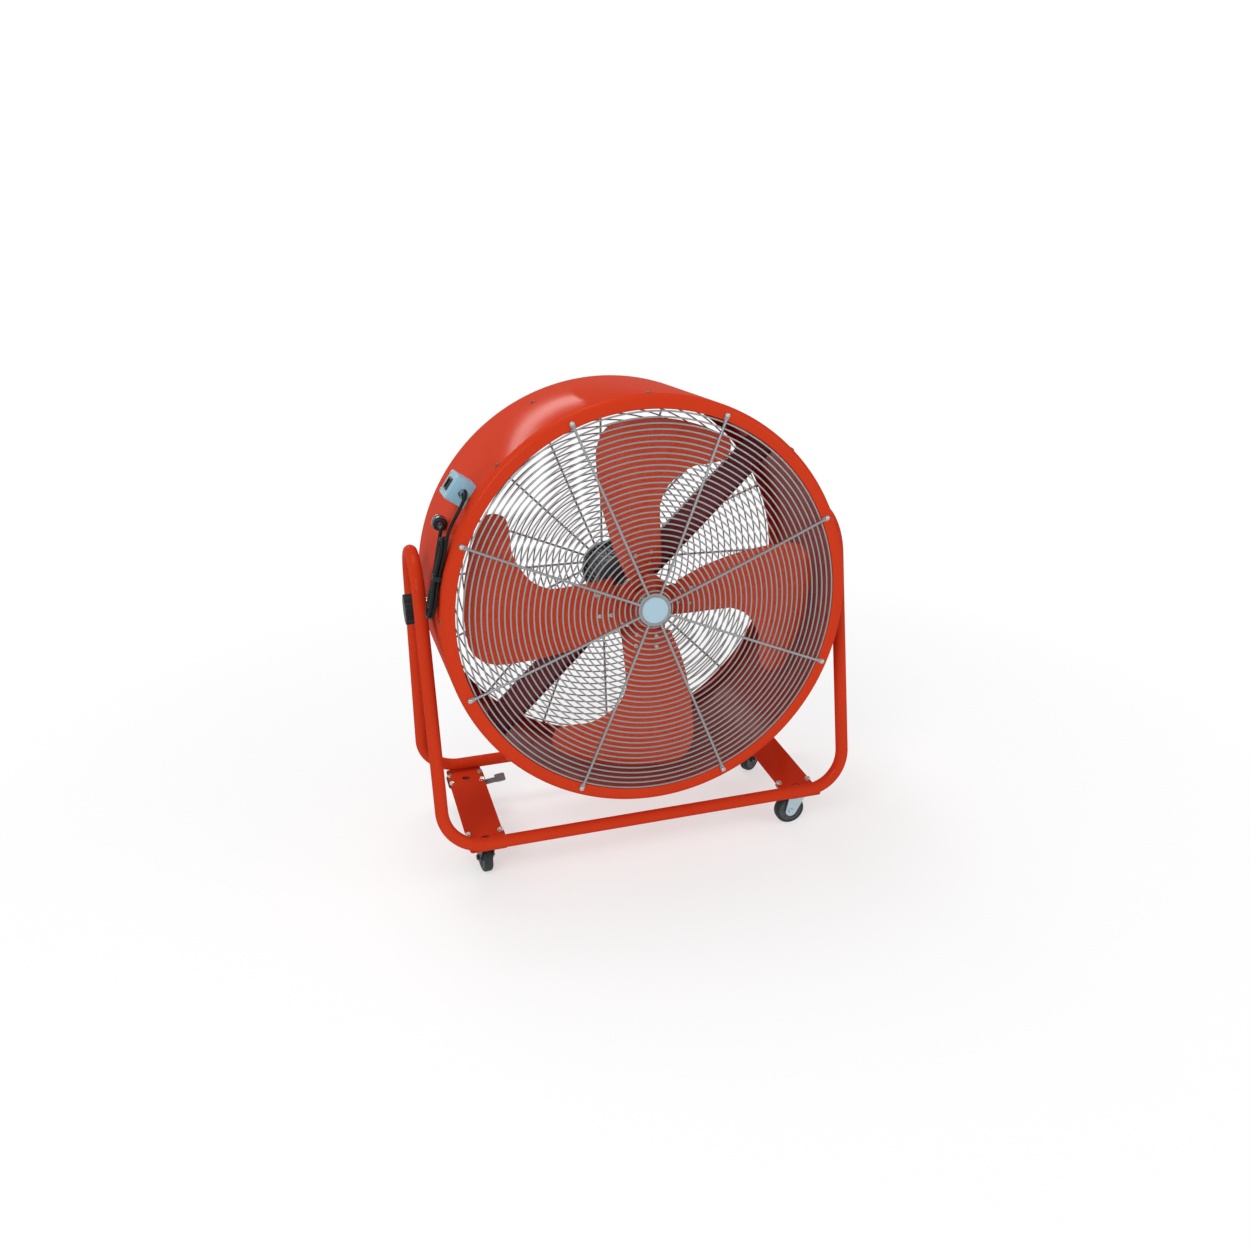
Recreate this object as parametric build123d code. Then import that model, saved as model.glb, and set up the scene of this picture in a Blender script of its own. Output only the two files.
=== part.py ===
from build123d import *
import os
from math import atan2, cos, dist, pi, radians, sin, sqrt, tan

# Mobile drum fan, 900 mm size.  Millimetres, +Z up, front towards -Y, floor at z = 0.
# Pieces of the drum are made in the drum's own frame (axis along Y, pivot at its origin)
# and then tilted about the pivot by drum_place().

# ---- driving dimensions ----
drum_radius = 500
drum_depth = 436
sheet = 2
front_bore = 466
rear_bore = 476
rim_radius = 17
lip_depth = 12
pivot_height = 683
rest_tilt = 5

tube_radius = 16
tube_wall = 2
leg_x = 531
bar_z = 123
bar_y = 209
leg_y_at_pivot = 109
arch_radius = 100
corner_radius = 100

running_fit = 0.05
face_gap = 0.3
weld_sink = 0.5
nut_seat = 0.1

# ---- base straps and casters ----
strap_x = 423
strap_width = 94
strap_length = 420
strap_thickness = 5
strap_top = bar_z - tube_radius + weld_sink
caster_y = 154
caster_plate_size = (102, 66, 3)
caster_bolt_x = 41.5
caster_bolt_y = 22
caster_bolt_radius = 4
wheel_radius = 40
wheel_width = 25
wheel_hub_width = 27.4
fork_gap = 28
fork_sheet = 3
trail = 20
kingpin_radius = 6
race_height = 6
axle_radius = 4
caster_headings = {"fl": 6, "fr": 90, "rl": -92, "rr": 128}
crown_radius = 23
pedal_pin = (19, 84.5)
pedal_pin_radius = 2.5

# ---- pivots ----
pivot_plate_height = 64
pivot_plate_thickness = 5
stud_radius = 6
boss_radius = 24
knob_radius = 37.5
knob_inner = 538
knob_outer = 560
knob_neck_radius = 17

# ---- guards ----
wire = 4
spoke = 6
tab_thickness = 3
front_tab_radius = 479
rear_tab_radius = 485
tab_width = 13
guard_screw_radius = 2.4
spoke_past_tab = 8
spoke_start_angle = 21
front_guard_rings = (45, 462, 32)
rear_guard_rings = (52, 471, 25)
front_dome = 17
rear_dome = 22
guard_disc_radius = 40
badge_radius = 35
badge_thickness = 3

# ---- motor and its strut ----
strut_angle = 42.2
strut_width = 74
strut_thickness = 5
strut_lip = 8
strut_tab = 42
strut_tab_sheet = 4
strut_bolt_radius = 4
motor_radius = 73
motor_core = 66
motor_bore = 58
fin_count = 30
fin_thickness = 2.5
motor_front = strut_thickness / 2
cover_depth = 27
housing_depth = 128
rear_cover_depth = 28
nose_radius = 29
nose_reach = 50
shaft_radius = 12
shaft_front = -176
bearing_radius = 24
bearing_depth = 15
motor_bolt_pcd_radius = 58

# ---- impeller ----
blade_thickness = 3
arm_thickness = 5
rivet_radius = 3
blade_middle = -150
helix_lead = 65
blade_camber = 12
hub_radius = 34
hub_front = -166
hub_rear = -96
hub_disc_radius = 66
hub_disc_front = -150
hub_disc_rear = -142
blade_tip = 440

# ---- switch box, gland and cord ----
box_angle = 144
box_size = (60, 90, 36)
box_middle_y = -125
cover_height = 12
rocker_size = (21, 30)
rocker_swing = 10
gland_height = 17
gland_length = 17
cord_diameter = 8
cord_pitch = 8.8
hank_angle = 166
hank_middle_y = -183
hank_slope = -4
hank_half_run = 74
hank_wide = (11, 23)
hank_climb = 1.3
hank_inner_turn = 12
hank_entry = 14
hank_exit = 6
tie_slack = 0.6
tie_sheet = 1.6
tie_width = 12
lead_forward = 26
lead_drop = 30
tail_rise = 28
tail_straight = 14
plug_angle = 154.5
plug_axis_radius = 516.8
plug_start_y = -112
plug_neck = 14
plug_size = (34, 32, 32)
plug_corner = 12

os.makedirs("parts", exist_ok=True)

lean = atan2(bar_y - leg_y_at_pivot, pivot_height - bar_z)
arch_apex_z = bar_z + bar_y / tan(lean)
sides = {"left": -1, "right": 1}
caster_places = {"fl": (-1, -1), "fr": (1, -1), "rl": (-1, 1), "rr": (1, 1)}


# ---------------------------------------------------------------- helpers
def save(name, shape):
    export_step(shape, f"parts/{name}.step")


def group(solids):
    return Compound([solid for shape in solids for solid in shape.solids()])


def drum_place(shape):
    return Pos(0, 0, pivot_height) * Rot(X=-rest_tilt) * shape


def around(angle):
    """Turn about the drum's axis: +X goes to this angle, counted up from +X in the front view."""
    return Rot(Y=-angle)


def along_y(radius, start, end):
    """Cylinder on the Y axis from start to end."""
    return Pos(0, (start + end) / 2, 0) * Rot(X=90) * Cylinder(radius, abs(end - start))


def along_x(radius, start, end):
    return Pos((start + end) / 2, 0, 0) * Rot(Y=90) * Cylinder(radius, abs(end - start))


def upright(radius, bottom, top):
    return Pos(0, 0, (bottom + top) / 2) * Cylinder(radius, abs(top - bottom))


def hexagon(across_flats, bottom, top):
    """Hexagonal prism on the Z axis."""
    profile = RegularPolygon(across_flats / 2, 6, major_radius=False)
    return Pos(0, 0, bottom) * extrude(profile, top - bottom)


def pan_head(radius, height):
    """Domed screw head standing on z = 0."""
    return fillet(upright(radius, 0, height).edges().sort_by(Axis.Z)[-1], height * 0.45)


def tube_along(path, radius):
    return sweep(Plane(path @ 0, z_dir=path % 0) * Circle(radius), path=path)


# ---------------------------------------------------------------- stand
def stand_half(side):
    """Half of the frame: a bar half, corner, leg, arch, leg, corner, bar half."""
    x = side * leg_x
    path = FilletPolyline(
        (0, -bar_y, bar_z), (x, -bar_y, bar_z), (x, 0, arch_apex_z), (x, bar_y, bar_z), (0, bar_y, bar_z),
        radius=[corner_radius, arch_radius, corner_radius])
    return tube_along(path, tube_radius) - tube_along(path, tube_radius - tube_wall)


def caster_bolt_places():
    """The four bolt places of a caster, from its swivel axis."""
    return [(i * caster_bolt_x, j * caster_bolt_y) for i in (-1, 1) for j in (-1, 1)]


def base_strap(side):
    """Flat strap under both bars, which carries two casters."""
    strap = RectangleRounded(strap_width, strap_length, 8)
    for end in (-1, 1):
        holes = [Pos(x, end * caster_y + y) * Circle(caster_bolt_radius) for x, y in caster_bolt_places()]
        strap -= holes
        strap -= Pos(0, end * caster_y) * Circle(kingpin_radius + 4)
    return Pos(side * strap_x, 0, strap_top - strap_thickness) * extrude(strap, strap_thickness)


def caster_bolt():
    """Hexagon bolt with its nut, axis Z, on the strap's top face at z = 0."""
    under = -strap_thickness - caster_plate_size[2]
    shank = upright(caster_bolt_radius, under - 7.5, 0)
    return hexagon(13, 0, 5.3) + shank + hexagon(13, under - 6.5, under)


def caster_bolts():
    bolt = caster_bolt()
    bolts = []
    for i, j in caster_places.values():
        for x, y in caster_bolt_places():
            bolts.append(Pos(i * strap_x + x, j * caster_y + y, strap_top) * bolt)
    return group(bolts)


def pivot_plate(side):
    """Plate welded between the two legs, with the hole for the drum's stud."""
    half = pivot_plate_height / 2
    low = leg_y_at_pivot + half * tan(lean) - tube_radius / cos(lean) + weld_sink
    high = leg_y_at_pivot - half * tan(lean) - tube_radius / cos(lean) + weld_sink
    outline = Polyline((-low, -half), (low, -half), (high, half), (-high, half), close=True)
    plate = make_face(outline) - Circle(stud_radius + running_fit)
    plate = extrude(plate, pivot_plate_thickness / 2, both=True)
    return Pos(side * leg_x, 0, pivot_height) * Plane.YZ.location * plate


# ---------------------------------------------------------------- casters
caster_top = strap_top - strap_thickness
plate_bottom = caster_top - caster_plate_size[2]
race_bottom = plate_bottom - race_height
fork_top = race_bottom - face_gap
fork_under = fork_top - fork_sheet
rivet_top = fork_under - face_gap


def caster_location(name):
    i, j = caster_places[name]
    return Pos(i * strap_x, j * caster_y, 0)


def caster_plate():
    """Top plate with its swivel race and the kingpin that carries the fork."""
    plate = extrude(RectangleRounded(caster_plate_size[0], caster_plate_size[1], 9), caster_plate_size[2])
    for x, y in caster_bolt_places():
        plate -= Pos(x, y) * upright(caster_bolt_radius, 0, caster_plate_size[2])
    plate = Pos(0, 0, plate_bottom) * plate
    race = upright(21, race_bottom, plate_bottom)
    race = fillet(race.edges().sort_by(Axis.Z)[0], 2.5)
    pin = upright(kingpin_radius, rivet_top - 3, plate_bottom)
    rivet = Pos(0, 0, rivet_top) * Rot(X=180) * pan_head(8.4, 3)
    return plate + race + pin + rivet


def fork_side():
    """One cheek of the fork: round ends at the crown, the pedal pin and the axle."""
    crown = fork_under - 7
    edges = [Pos(-14, crown) * Circle(7).edge()]
    edges += [Pos(pedal_pin[0], pedal_pin[1]) * Circle(6.5).edge()]
    edges += [Pos(trail, wheel_radius) * Circle(15).edge()]
    cheek = make_face(make_hull(edges))
    cheek += Pos(3, crown + 3.5) * Rectangle(30, 7)
    return extrude(Plane.YZ * cheek, fork_sheet)


def caster_fork():
    """Crown, two cheeks and the fixed axle bolt; the wheel trails towards +Y."""
    reach = fork_gap / 2
    crown = upright(crown_radius, fork_under, fork_top)
    crown -= upright(kingpin_radius + running_fit, fork_under, fork_top)
    cheek = fork_side()
    fork = crown + Pos(reach, 0, 0) * cheek + Pos(-reach - fork_sheet, 0, 0) * cheek
    axle = along_x(axle_radius, -reach - fork_sheet, reach + fork_sheet + 8)
    head = Rot(Y=90) * hexagon(13, 0, 5)
    axle += Pos(-reach - fork_sheet - 5, 0, 0) * head + Pos(reach + fork_sheet, 0, 0) * head
    return fork + Pos(0, trail, wheel_radius) * axle


def caster_wheel():
    """Tread, dished sides and hub in one turned solid, bored for the axle."""
    bore = axle_radius + running_fit
    half = wheel_width / 2
    hub = wheel_hub_width / 2
    tread = Pos(wheel_radius / 2, 0) * Rectangle(wheel_radius, wheel_width)
    tread = fillet(tread.vertices().group_by(Axis.X)[-1], 7)
    for side in (-1, 1):
        tread -= Pos(20.5, side * (half - 2)) * Rectangle(17, 4)
    section = tread + Pos(10 / 2, 0) * Rectangle(10, 2 * hub) - Pos(bore / 2, 0) * Rectangle(bore, 2 * hub)
    return Pos(0, trail, wheel_radius) * Rot(Z=90) * revolve(section, Axis.Y)


def brake_pedal():
    """Lever on a pin through the fork, with a shoe over the tread."""
    y, z = pedal_pin
    under = [(-3.6, -3), (16, -3.4), (30, -1.5), (88, 6.5)]
    over = [(86, 10.5), (26, 3.3), (-3.6, 3.1)]
    arm = Polyline(*[(y + a, z + b) for a, b in under + over], close=True)
    lever = extrude(Plane.YZ * make_face(arm), 10, both=True)
    toe = Pos(0, y + 74, z + 8.3) * Rot(X=7.9) * extrude(RectangleRounded(38, 28, 6), 4)
    pin = Pos(0, y, z) * along_x(pedal_pin_radius, -fork_gap / 2 - 5, fork_gap / 2 + 5)
    return lever + toe + pin


def braked_fork():
    """The rear casters' fork, bored for the pedal's pin."""
    y, z = pedal_pin
    hole = along_x(pedal_pin_radius + running_fit, -fork_gap, fork_gap)
    return caster_fork() - Pos(0, y, z) * hole


# ---------------------------------------------------------------- drum
def wall_place(angle, radius, y):
    """Place on the drum wall: local Z points outwards, local X along the rim, local Y along the drum."""
    a = radians(angle)
    origin = (radius * cos(a), y, radius * sin(a))
    return Plane(origin, x_dir=(-sin(a), 0, cos(a)), z_dir=(cos(a), 0, sin(a))).location


wall_screw_places = [(43 + 45 * k, -194) for k in range(8)] + [(113, 89)]
strut_bolt_places = [(strut_angle + turn + side * 2.6, 24) for turn in (0, 180) for side in (-1, 1)]
front_tab_angles = [spoke_start_angle + 45 * k for k in range(8)]
rear_tab_angles = [spoke_start_angle + 22.5 * k for k in range(16)]
wall_screw_radius = 3


def drum_shell():
    """Rolled drum with rounded rims and turned-in lips."""
    half = drum_depth / 2
    outer = Pos(drum_radius / 2, 0) * Rectangle(drum_radius, drum_depth)
    outer = fillet(outer.vertices().group_by(Axis.X)[-1], rim_radius)
    inner_radius = drum_radius - sheet
    inner = Pos(inner_radius / 2, 0) * Rectangle(inner_radius, drum_depth - 2 * sheet)
    inner = fillet(inner.vertices().group_by(Axis.X)[-1], rim_radius - sheet)
    bores = Pos(front_bore / 2, -half / 2) * Rectangle(front_bore, half)
    bores += Pos(rear_bore / 2, half / 2) * Rectangle(rear_bore, half)
    lips = Pos(front_bore + sheet / 2, -half + lip_depth / 2) * Rectangle(sheet, lip_depth)
    lips += Pos(rear_bore + sheet / 2, half - lip_depth / 2) * Rectangle(sheet, lip_depth)
    shell = revolve(outer - inner - bores + lips, Axis.Y)
    holes = [wall_place(a, drum_radius - sheet, y) * upright(wall_screw_radius, -4, 6)
             for a, y in wall_screw_places]
    holes += [wall_place(a, drum_radius - sheet, y) * upright(strut_bolt_radius, -4, 6)
              for a, y in strut_bolt_places]
    front_hole = Pos(front_tab_radius, 0, 0) * along_y(guard_screw_radius, -half - 1, -half + 2 * sheet)
    rear_hole = Pos(rear_tab_radius, 0, 0) * along_y(guard_screw_radius, half - 2 * sheet, half + 1)
    holes += [around(a) * front_hole for a in front_tab_angles]
    holes += [around(a) * rear_hole for a in rear_tab_angles]
    return shell.cut(*holes)


def drum_screws():
    """Pan-head screws round the front of the drum wall, with their nuts inside."""
    screw = pan_head(6, 3.5) + upright(wall_screw_radius, -8, 1)
    screw += hexagon(10, -sheet - 5, -sheet - nut_seat)
    return group(wall_place(a, drum_radius, y) * screw for a, y in wall_screw_places)


def dome_height(r, dome, edge):
    """Height of a guard's shallow sphere over its edge radius at radius r."""
    sphere = (edge ** 2 + dome ** 2) / (2 * dome)
    return sqrt(sphere ** 2 - r ** 2) - (sphere - dome)


def guard(rings, dome, tab_angles, tab_radius):
    """Domed guard facing +Y from y = 0: rings sunk into crossing spokes, a disc and eyelet tabs."""
    first, last, count = rings
    base = spoke / 2
    spoke_end = tab_radius - spoke_past_tab
    hoops = []
    for k in range(count):
        r = first + (last - first) * k / (count - 1)
        y = base + dome_height(r, dome, tab_radius) - spoke / 2 - wire / 2 + 1
        hoops.append(revolve(Pos(r, y) * Rectangle(wire, wire), Axis.Y))
    end = base + dome_height(spoke_end, dome, tab_radius)
    top = base + dome
    middle_line = ThreePointArc((-spoke_end, end), (0, top), (spoke_end, end))
    outside, inside = Pos(0, spoke / 2) * middle_line, Pos(0, -spoke / 2) * middle_line
    edges = [outside, inside, Line(outside @ 0, inside @ 0), Line(outside @ 1, inside @ 1)]
    bar = extrude(make_face(edges), spoke / 2, both=True)
    tabs = []
    for a in tab_angles:
        tab = Pos(tab_radius - 9, 0) * SlotCenterToCenter(18, tab_width)
        tab = extrude(tab - Pos(tab_radius, 0) * Circle(guard_screw_radius), tab_thickness)
        tabs.append(around(a) * Rot(X=-90) * tab)
    disc = along_y(guard_disc_radius, top - spoke / 2, top + spoke / 2)
    bars = [around(a) * bar for a in tab_angles[:len(tab_angles) // 2]]
    return disc.fuse(*bars, *tabs, *hoops)


def front_guard():
    grille = guard(front_guard_rings, front_dome, [-a for a in front_tab_angles], front_tab_radius)
    return Rot(Z=180) * Pos(0, drum_depth / 2, 0) * grille


def rear_guard():
    grille = guard(rear_guard_rings, rear_dome, rear_tab_angles, rear_tab_radius)
    return Pos(0, drum_depth / 2, 0) * grille


def guard_screws(angles, radius, side):
    """Screws through the guard's tabs into the rim; side is -1 at the front, 1 at the rear."""
    length = tab_thickness + sheet + 6
    screw = pan_head(4.8, 3.2) + upright(guard_screw_radius, -length, 1)
    screw = Rot(X=-90 * side) * screw
    face = side * (drum_depth / 2 + tab_thickness)
    return group(around(a) * Pos(radius, face, 0) * screw for a in angles)


def guard_badge():
    """Plain round badge on the middle of the front guard."""
    face = drum_depth / 2 + spoke + front_dome
    disc = Pos(0, 0, face) * pan_head(badge_radius, badge_thickness)
    return Rot(X=90) * disc


# ---------------------------------------------------------------- motor
def motor_strut():
    """Pressed strut across the drum, with lips, end tabs on the wall and the motor's opening."""
    inner = drum_radius - sheet
    half = strut_thickness / 2
    web = Box(2 * inner, strut_thickness, strut_width)
    for side in (-1, 1):
        web += Pos(0, -half - strut_lip / 2, side * (strut_width / 2 - 1.5)) * Box(2 * inner, strut_lip, 3)
    web &= along_y(inner, -half - strut_lip, half)
    tab = along_y(inner, half, strut_tab) - along_y(inner - strut_tab_sheet, half, strut_tab)
    tab &= Pos(0, strut_tab / 2, 0) * Box(3 * inner, strut_tab, strut_width)
    strut = web + tab
    strut -= along_y(nose_radius + 1, -20, 20)
    for x, z in motor_bolt_places():
        strut -= Pos(x, 0, z) * along_y(4, -10, 10)
    strut = around(strut_angle) * strut
    for a, y in strut_bolt_places:
        strut -= wall_place(a, inner, y) * upright(strut_bolt_radius, -8, 4)
    return strut


def motor_bolt_places():
    """Bolts between strut and motor, inside the strut's width."""
    angle = 24
    x = motor_bolt_pcd_radius * cos(radians(angle))
    z = motor_bolt_pcd_radius * sin(radians(angle))
    return [(i * x, j * z) for i in (-1, 1) for j in (-1, 1)]


def strut_bolts():
    """Bolts that hold the strut to the drum wall, nuts inside, and the motor to the strut."""
    under = -sheet - strut_tab_sheet
    wall_bolt = hexagon(13, 0, 5) + upright(strut_bolt_radius, under - 9, 1)
    wall_bolt += hexagon(13, under - 6.5, under - nut_seat)
    motor_bolt = Rot(X=90) * (hexagon(13, 0, 5) + upright(strut_bolt_radius, -strut_thickness - 12, 1))
    bolts = [wall_place(a, drum_radius, y) * wall_bolt for a, y in strut_bolt_places]
    bolts += [around(strut_angle) * Pos(x, -strut_thickness / 2, z) * motor_bolt
              for x, z in motor_bolt_places()]
    return group(bolts)


def motor_front_cover():
    """Flange on the strut with the bearing nose that stands through it."""
    back = motor_front + cover_depth
    cover = along_y(motor_radius, motor_front, back)
    cover = fillet(cover.edges().sort_by(Axis.Y)[0], 5)
    nose = along_y(nose_radius, -nose_reach, motor_front + 1)
    nose = fillet(nose.edges().sort_by(Axis.Y)[0], 3)
    cover += nose
    cover -= along_y(shaft_radius + 2, -nose_reach, back)
    cover -= along_y(bearing_radius, -nose_reach, -nose_reach + bearing_depth)
    cover -= along_y(motor_bore, back - 14, back)
    for x, z in motor_bolt_places():
        cover -= around(strut_angle) * Pos(x, 0, z) * along_y(4, motor_front, motor_front + 12)
    return cover


def motor_housing():
    """Finned barrel of the motor."""
    barrel = Circle(motor_core) - Circle(motor_bore)
    fin_height = motor_radius - motor_core + 1
    fin = Pos(motor_radius - fin_height / 2, 0) * Rectangle(fin_height, fin_thickness)
    barrel = barrel.fuse(*[Rot(0, 0, 360 * k / fin_count) * fin for k in range(fin_count)])
    start = motor_front + cover_depth
    return Pos(0, start + housing_depth, 0) * Rot(X=90) * extrude(barrel, housing_depth)


def motor_rear_cover():
    """Domed rear cover with the rear bearing's pocket."""
    start = motor_front + cover_depth + housing_depth
    end = start + rear_cover_depth
    cover = along_y(motor_radius, start, end)
    cover = fillet(cover.edges().sort_by(Axis.Y)[-1], 12)
    cover -= along_y(motor_bore, start, start + 6)
    cover -= along_y(bearing_radius, start, start + 6 + bearing_depth)
    return cover


def motor_stator():
    start = motor_front + cover_depth
    ring = along_y(motor_bore, start + 24, start + 104)
    return ring - along_y(36, start + 24, start + 104)


def motor_bearings():
    """Two ball bearings, shown as plain rings, which the shaft runs in."""
    rear_start = motor_front + cover_depth + housing_depth + 6
    rings = []
    for start in (-nose_reach, rear_start):
        ring = along_y(bearing_radius, start, start + bearing_depth)
        rings.append(ring - along_y(shaft_radius + running_fit, start, start + bearing_depth))
    return group(rings)


# ---------------------------------------------------------------- impeller
def motor_shaft():
    rear = motor_front + cover_depth + housing_depth + 6 + bearing_depth - 1
    shaft = along_y(shaft_radius, shaft_front + 16, rear) + along_y(8, shaft_front, shaft_front + 17)
    return shaft


def motor_rotor():
    start = motor_front + cover_depth
    return along_y(35.4, start + 24, start + 104) - along_y(shaft_radius, start + 24, start + 104)


def blade_surface_y(x, z):
    """Forward place of the blade's rear face: a helix about the axis, with a little camber."""
    offset = x - 0.125 * z
    camber = blade_camber * (1 - (offset / 190) ** 2) * z / 400
    return blade_middle + helix_lead / (z + 20) * offset + camber


def blade_sheet(thickness):
    """Curved sheet larger than a blade, from the blade's rear face towards -Y, or +Y where negative."""
    rows = [[(x, blade_surface_y(x, z), z) for x in range(-190, 291, 40)] for z in range(40, 461, 30)]
    face = Face.make_surface_from_array_of_points([[Vector(p) for p in row] for row in rows])
    direction = 1 if face.normal_at().Y > 0 else -1
    return Solid.thicken(face, -direction * thickness)


def blade_outline():
    """Paddle outline in the blade's own plane, root at the bottom, leading edge towards +X."""
    trailing = Spline((-52, 70), (-82, 150), (-103, 250), (-110, 350), (-86, 418),
                      tangents=[(-0.3, 1), (0.7, 1)])
    tip = ThreePointArc((-60, 436), (78, blade_tip - 6), (228, 362))
    leading = Spline((226, 318), (142, 309), (72, 268), (50, 205), (54, 70), tangents=[(-1, 0), (0, -1)])
    corner_left = Spline(trailing @ 1, tip @ 0, tangents=[(0.7, 1), (1, 0.25)])
    corner_right = Spline(tip @ 1, leading @ 0, tangents=[(0.75, -0.66), (-1, 0)])
    return make_face([trailing, corner_left, tip, corner_right, leading, Line(leading @ 1, trailing @ 0)])


def blade(turn):
    outline = extrude(Plane.XZ * blade_outline(), 300)
    paddle = blade_sheet(blade_thickness) & outline
    for place in blade_rivet_places():
        paddle -= place * upright(rivet_radius, -20, 20)
    return around(-turn) * paddle


def blade_rivet_places():
    """Rivets through each blade's root, square to its face."""
    places = []
    for x, z in ((-24, 88), (18, 88), (-24, 116), (22, 116)):
        y = blade_surface_y(x, z)
        slope_x = blade_surface_y(x + 0.5, z) - blade_surface_y(x - 0.5, z)
        slope_z = blade_surface_y(x, z + 0.5) - blade_surface_y(x, z - 0.5)
        places.append(Plane((x, y, z), z_dir=(slope_x, -1, slope_z)).location)
    return places


def blade_rivets():
    rivet = Pos(0, 0, blade_thickness) * pan_head(5.5, 2.5) + upright(rivet_radius, -arm_thickness, 4)
    rivet += Pos(0, 0, -arm_thickness) * Rot(X=180) * pan_head(5.5, 2.5)
    return group(around(-90 * k) * place * rivet for k in range(4) for place in blade_rivet_places())


def impeller_hub():
    """Boss on the shaft, a round disc and four arms that follow the blades' rear faces."""
    arm_outline = Polyline((-40, 30), (34, 30), (38, 128), (-40, 128), close=True)
    outline = extrude(Plane.XZ * fillet(make_face(arm_outline).vertices().group_by(Axis.Y)[-1], 12), 300)
    arm = blade_sheet(-arm_thickness) & outline
    for place in blade_rivet_places():
        arm -= place * upright(rivet_radius, -20, 20)
    hub = along_y(hub_radius, hub_front, hub_rear)
    hub += along_y(hub_disc_radius, hub_disc_front, hub_disc_rear)
    hub = hub.fuse(*[around(-90 * k) * arm for k in range(4)])
    return hub - along_y(shaft_radius, shaft_front, hub_rear)


def shaft_nut():
    """Hexagon nut and washer that hold the impeller."""
    washer = along_y(20, hub_front - 3, hub_front)
    nut = Pos(0, hub_front - 3, 0) * Rot(X=90) * hexagon(22, 0, 8)
    return washer + nut - along_y(8, hub_front - 12, hub_front)


# ---------------------------------------------------------------- pivots
def pivot_boss(side):
    """Spacer on the drum wall with the stud that runs through the stand's plate into the knob."""
    plate_inner = leg_x - pivot_plate_thickness / 2
    boss = along_x(boss_radius, drum_radius - 8, plate_inner - face_gap)
    boss -= along_y(drum_radius, -boss_radius - 1, boss_radius + 1)
    boss += along_x(stud_radius, drum_radius, knob_outer - 6)
    return Rot(Z=0 if side > 0 else 180) * boss


def tilt_knob(side):
    """Scalloped clamping knob on the stud."""
    plate_outer = leg_x + pivot_plate_thickness / 2
    head = Circle(knob_radius)
    head -= [Rot(0, 0, 45 * k) * Pos(knob_radius + 9, 0) * Circle(12) for k in range(8)]
    grip = Pos(knob_inner, 0, 0) * Rot(Y=90) * extrude(head, knob_outer - knob_inner)
    grip = fillet(grip.faces().sort_by(Axis.X)[-1].edges(), 3)
    knob = grip + along_x(knob_neck_radius, plate_outer + face_gap, knob_inner)
    knob -= along_x(stud_radius + running_fit, plate_outer, knob_outer - 5)
    return Rot(Z=0 if side > 0 else 180) * knob


# ---------------------------------------------------------------- switch box
def box_place(radius):
    return wall_place(box_angle, radius, box_middle_y)


def switch_box():
    """Box on the drum wall, open towards its cover."""
    width, length, height = box_size
    body = extrude(RectangleRounded(width, length, 6), height + 6)
    body -= Pos(0, 0, 9) * extrude(RectangleRounded(width - 6, length - 6, 4), height)
    for x, y in box_screw_places():
        body += Pos(x, y, 0) * upright(5, 2, height + 6)
        body -= Pos(x, y, 0) * upright(1.8, height - 8, height + 6)
    body = box_place(drum_radius - 6) * body
    gland_hole = box_place(drum_radius + gland_height) * Rot(X=90) * upright(6, 30, 60)
    return body - along_y(drum_radius, -200, 0) - gland_hole


def box_screw_places():
    return [(i * (box_size[0] / 2 - 7), j * (box_size[1] / 2 - 7)) for i in (-1, 1) for j in (-1, 1)]


def switch_cover():
    """Cover with rounded edges and the rocker's opening."""
    cover = extrude(RectangleRounded(box_size[0], box_size[1], 6), cover_height)
    cover = fillet(cover.faces().sort_by(Axis.Z)[-1].edges(), 2.5)
    cover -= extrude(RectangleRounded(box_size[0] - 6, box_size[1] - 6, 4), cover_height - 4)
    cover -= extrude(Rectangle(rocker_size[0] + 3, rocker_size[1] + 3), cover_height)
    for x, y in box_screw_places():
        cover += Pos(x, y, 0) * upright(5, 0, cover_height - 3)
        cover -= Pos(x, y, 0) * upright(1.8, 0, cover_height)
    return box_place(drum_radius + box_size[2]) * cover


def switch_screws():
    screw = pan_head(3.6, 2.2) + upright(1.8, -18, 1)
    top = drum_radius + box_size[2] + cover_height
    return group(box_place(top) * Pos(x, y, 0) * screw for x, y in box_screw_places())


def switch_bezel():
    """Frame round the rocker, with the rocker's bearing pins' holes."""
    outer = extrude(RectangleRounded(rocker_size[0] + 9, rocker_size[1] + 9, 3), 3)
    sleeve = Pos(0, 0, -12) * extrude(Rectangle(rocker_size[0] + 3, rocker_size[1] + 3), 12)
    bezel = outer + sleeve
    bezel -= Pos(0, 0, -14) * extrude(Rectangle(rocker_size[0] + 0.8, rocker_size[1] + 0.8), 20)
    bezel -= Pos(0, 0, -4) * along_x(1.5 + running_fit, -14, 14)
    return box_place(drum_radius + box_size[2] + cover_height) * bezel


def rocker_switch():
    """Rocker on a cross pin, resting with one end down."""
    half = rocker_size[1] / 2 - 1.2
    profile = Polyline((-half, -3), (-half, 4), (0, 1.5), (half, 4), (half, -3), (0, -6), close=True)
    rocker = extrude(Plane.YZ * make_face(profile), rocker_size[0] / 2, both=True)
    rocker += along_x(1.5, -12, 12)
    return box_place(drum_radius + box_size[2] + cover_height - 4) * Rot(X=rocker_swing) * rocker


def gland_place():
    """The gland's axis, pointing out of the box's front face."""
    return box_place(drum_radius + gland_height) * Pos(0, -box_size[1] / 2, 0) * Rot(X=90)


def cable_gland():
    gland = hexagon(22, 0, 6) + pan_head(9.5, gland_length) + upright(5.9, -8, 1)
    return gland_place() * gland


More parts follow.
